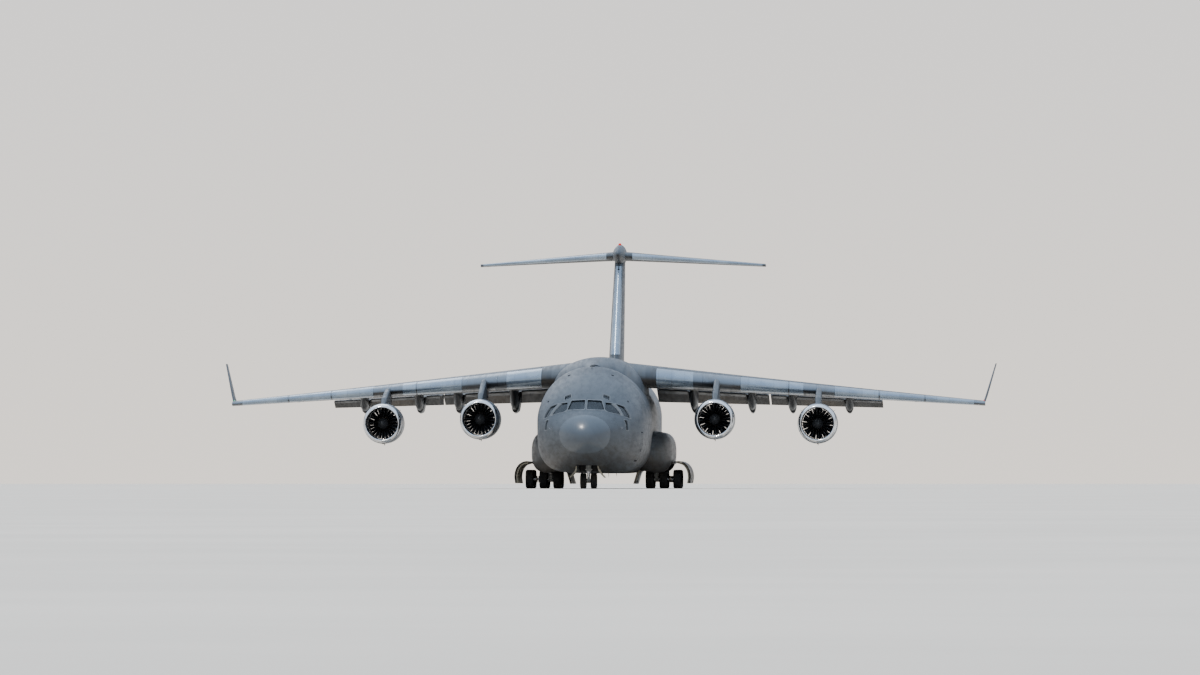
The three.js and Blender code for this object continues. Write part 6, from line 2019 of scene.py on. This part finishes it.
piece("nose_bay_frames", joined(*bay), "airframe", "cream")

collar = turned([(0, 1.10), (0.14, 1.10), (0.17, 1.13), (0.17, 1.31), (0, 1.31)], 32, "Z")
boss = boolean(rod((-0.11, NOSE_AXLE, z), (0.11, NOSE_AXLE, z), 0.13, sides=32),
               [block((-0.09, NOSE_AXLE - 0.09, z), (0.09, NOSE_AXLE + 0.09, z + 0.30))], "UNION")
boss = boolean(boss, [rod((-0.5, NOSE_AXLE, z), (0.5, NOSE_AXLE, z), 0.0635, sides=24)])
links = []
for way in (-1, 1):
    for start, end in (((NOSE_AXLE + 0.10, z + 0.26), (NOSE_AXLE + 0.34, 0.94)),
                       ((NOSE_AXLE + 0.13, 1.18), (NOSE_AXLE + 0.34, 0.94))):
        links.append(rod((way * 0.06, *start), (way * 0.025, *end), 0.022, 0.018, 10))
links.append(rod((-0.08, NOSE_AXLE + 0.34, 0.94), (0.08, NOSE_AXLE + 0.34, 0.94), 0.025, sides=12))
steer = [rod((way * 0.17, NOSE_AXLE - 0.12, 1.22), (way * 0.19, NOSE_AXLE + 0.14, 1.22), 0.04, sides=14)
         for way in (-1, 1)]
piece("nose_fork_body", joined(moved(collar, 0, NOSE_AXLE, 0), boss, *links, *steer), "nose_leg", "gear",
      ["nose_fork"], sharp=36)
piece("nose_piston", rod((0, NOSE_AXLE, z + 0.25), (0, NOSE_AXLE, 1.14), 0.095, sides=32), "nose_leg",
      "steel", sharp=36)
wheel_set("nose_wheels", NOSE_TYRE, (-0.335, 0.335), NOSE_AXLE, 0.06)


# Camera, light and floor

CAMERA = {"azimuth": 2.9, "distance": 250.0, "height": 0.25, "pixels_per_metre": 30.2}
AIM = (-0.17, 0, 5.0)
IMAGE_WIDTH, SENSOR = 1200, 36.0
# place, aim, size, power, color
AREA_LIGHTS = {
    "front_fill": ((16, -42, 15), (0, -4, 3), 22, 300, (0.93, 0.97, 1.0)),
    "rear_rim": ((-12, 36, 22), (0, 6, 4), 18, 1800, (0.92, 0.96, 1.0)),
}
SUN_FROM = (-7, -7, 30)
# place on the ramp from nadir to zenith, color
SKY = ((0.50, (0.86, 0.80, 0.73, 1)), (0.62, (0.60, 0.68, 0.80, 1)), (0.92, (0.72, 0.92, 1.20, 1)))
FLOOR_HALF = 400

scene = bpy.context.scene
camera = bpy.data.objects.new("camera", bpy.data.cameras.new("camera"))
COLLECTION.objects.link(camera)
scene.camera = camera
turn = math.radians(CAMERA["azimuth"])
camera.location = (CAMERA["distance"] * math.sin(turn), -CAMERA["distance"] * math.cos(turn),
                   CAMERA["height"])
camera.rotation_euler = (Vector(AIM) - camera.location).to_track_quat("-Z", "Y").to_euler()
camera.data.sensor_width = SENSOR
camera.data.lens = SENSOR * CAMERA["pixels_per_metre"] * CAMERA["distance"] / IMAGE_WIDTH
camera.data.clip_end = 2000


def soft_area(name, place, aim, size, power, color):
    light = bpy.data.lights.new(name, "AREA")
    light.shape, light.size, light.energy, light.color = "DISK", size, power, color
    lamp = bpy.data.objects.new(name, light)
    lamp.location = place
    lamp.rotation_euler = (Vector(aim) - Vector(place)).to_track_quat("-Z", "Y").to_euler()
    lamp.visible_camera = False
    COLLECTION.objects.link(lamp)


sun = bpy.data.lights.new("key", "SUN")
sun.energy, sun.angle, sun.color = 3.4, math.radians(7), (1.0, 0.96, 0.90)
key = bpy.data.objects.new("key", sun)
key.rotation_euler = (-Vector(SUN_FROM)).to_track_quat("-Z", "Y").to_euler()
COLLECTION.objects.link(key)
for name, values in AREA_LIGHTS.items():
    soft_area(name, *values)

world = bpy.data.worlds.new("studio")
scene.world = world
world.use_nodes = True
sky = world.node_tree
back = sky.nodes["Background"]
place = sky.nodes.new("ShaderNodeTexCoord")
split = sky.nodes.new("ShaderNodeSeparateXYZ")
fade = sky.nodes.new("ShaderNodeValToRGB")
stops = fade.color_ramp.elements
for i, (rise, tone) in enumerate(SKY):
    stop = stops[i] if i < len(stops) else stops.new(rise)
    stop.position, stop.color = rise, tone
half = sky.nodes.new("ShaderNodeMapRange")
for socket, value in zip(half.inputs[1:5], (-1, 1, 0, 1)):
    socket.default_value = value
sky.links.new(place.outputs["Generated"], split.inputs[0])
sky.links.new(split.outputs[2], half.inputs[0])
sky.links.new(half.outputs[0], fade.inputs[0])
sky.links.new(fade.outputs[0], back.inputs["Color"])
back.inputs["Strength"].default_value = 1.6

floor_paint = Nodes("studio_floor")
grain = floor_paint.noise(0.35, 5.0, 0.6, seed=3.0)
tone = floor_paint.mix(floor_paint.ramp(grain, 0.35, 0.7), (0.53, 0.485, 0.425), (0.58, 0.53, 0.465))
corners = [(x * FLOOR_HALF, y * FLOOR_HALF, 0) for x, y in ((-1, -1), (1, -1), (1, 1), (-1, 1))]
ground = raw((corners, [(0, 1, 2, 3)]), "studio_floor")
ground.data.materials.append(floor_paint.finish(tone, 0.85))
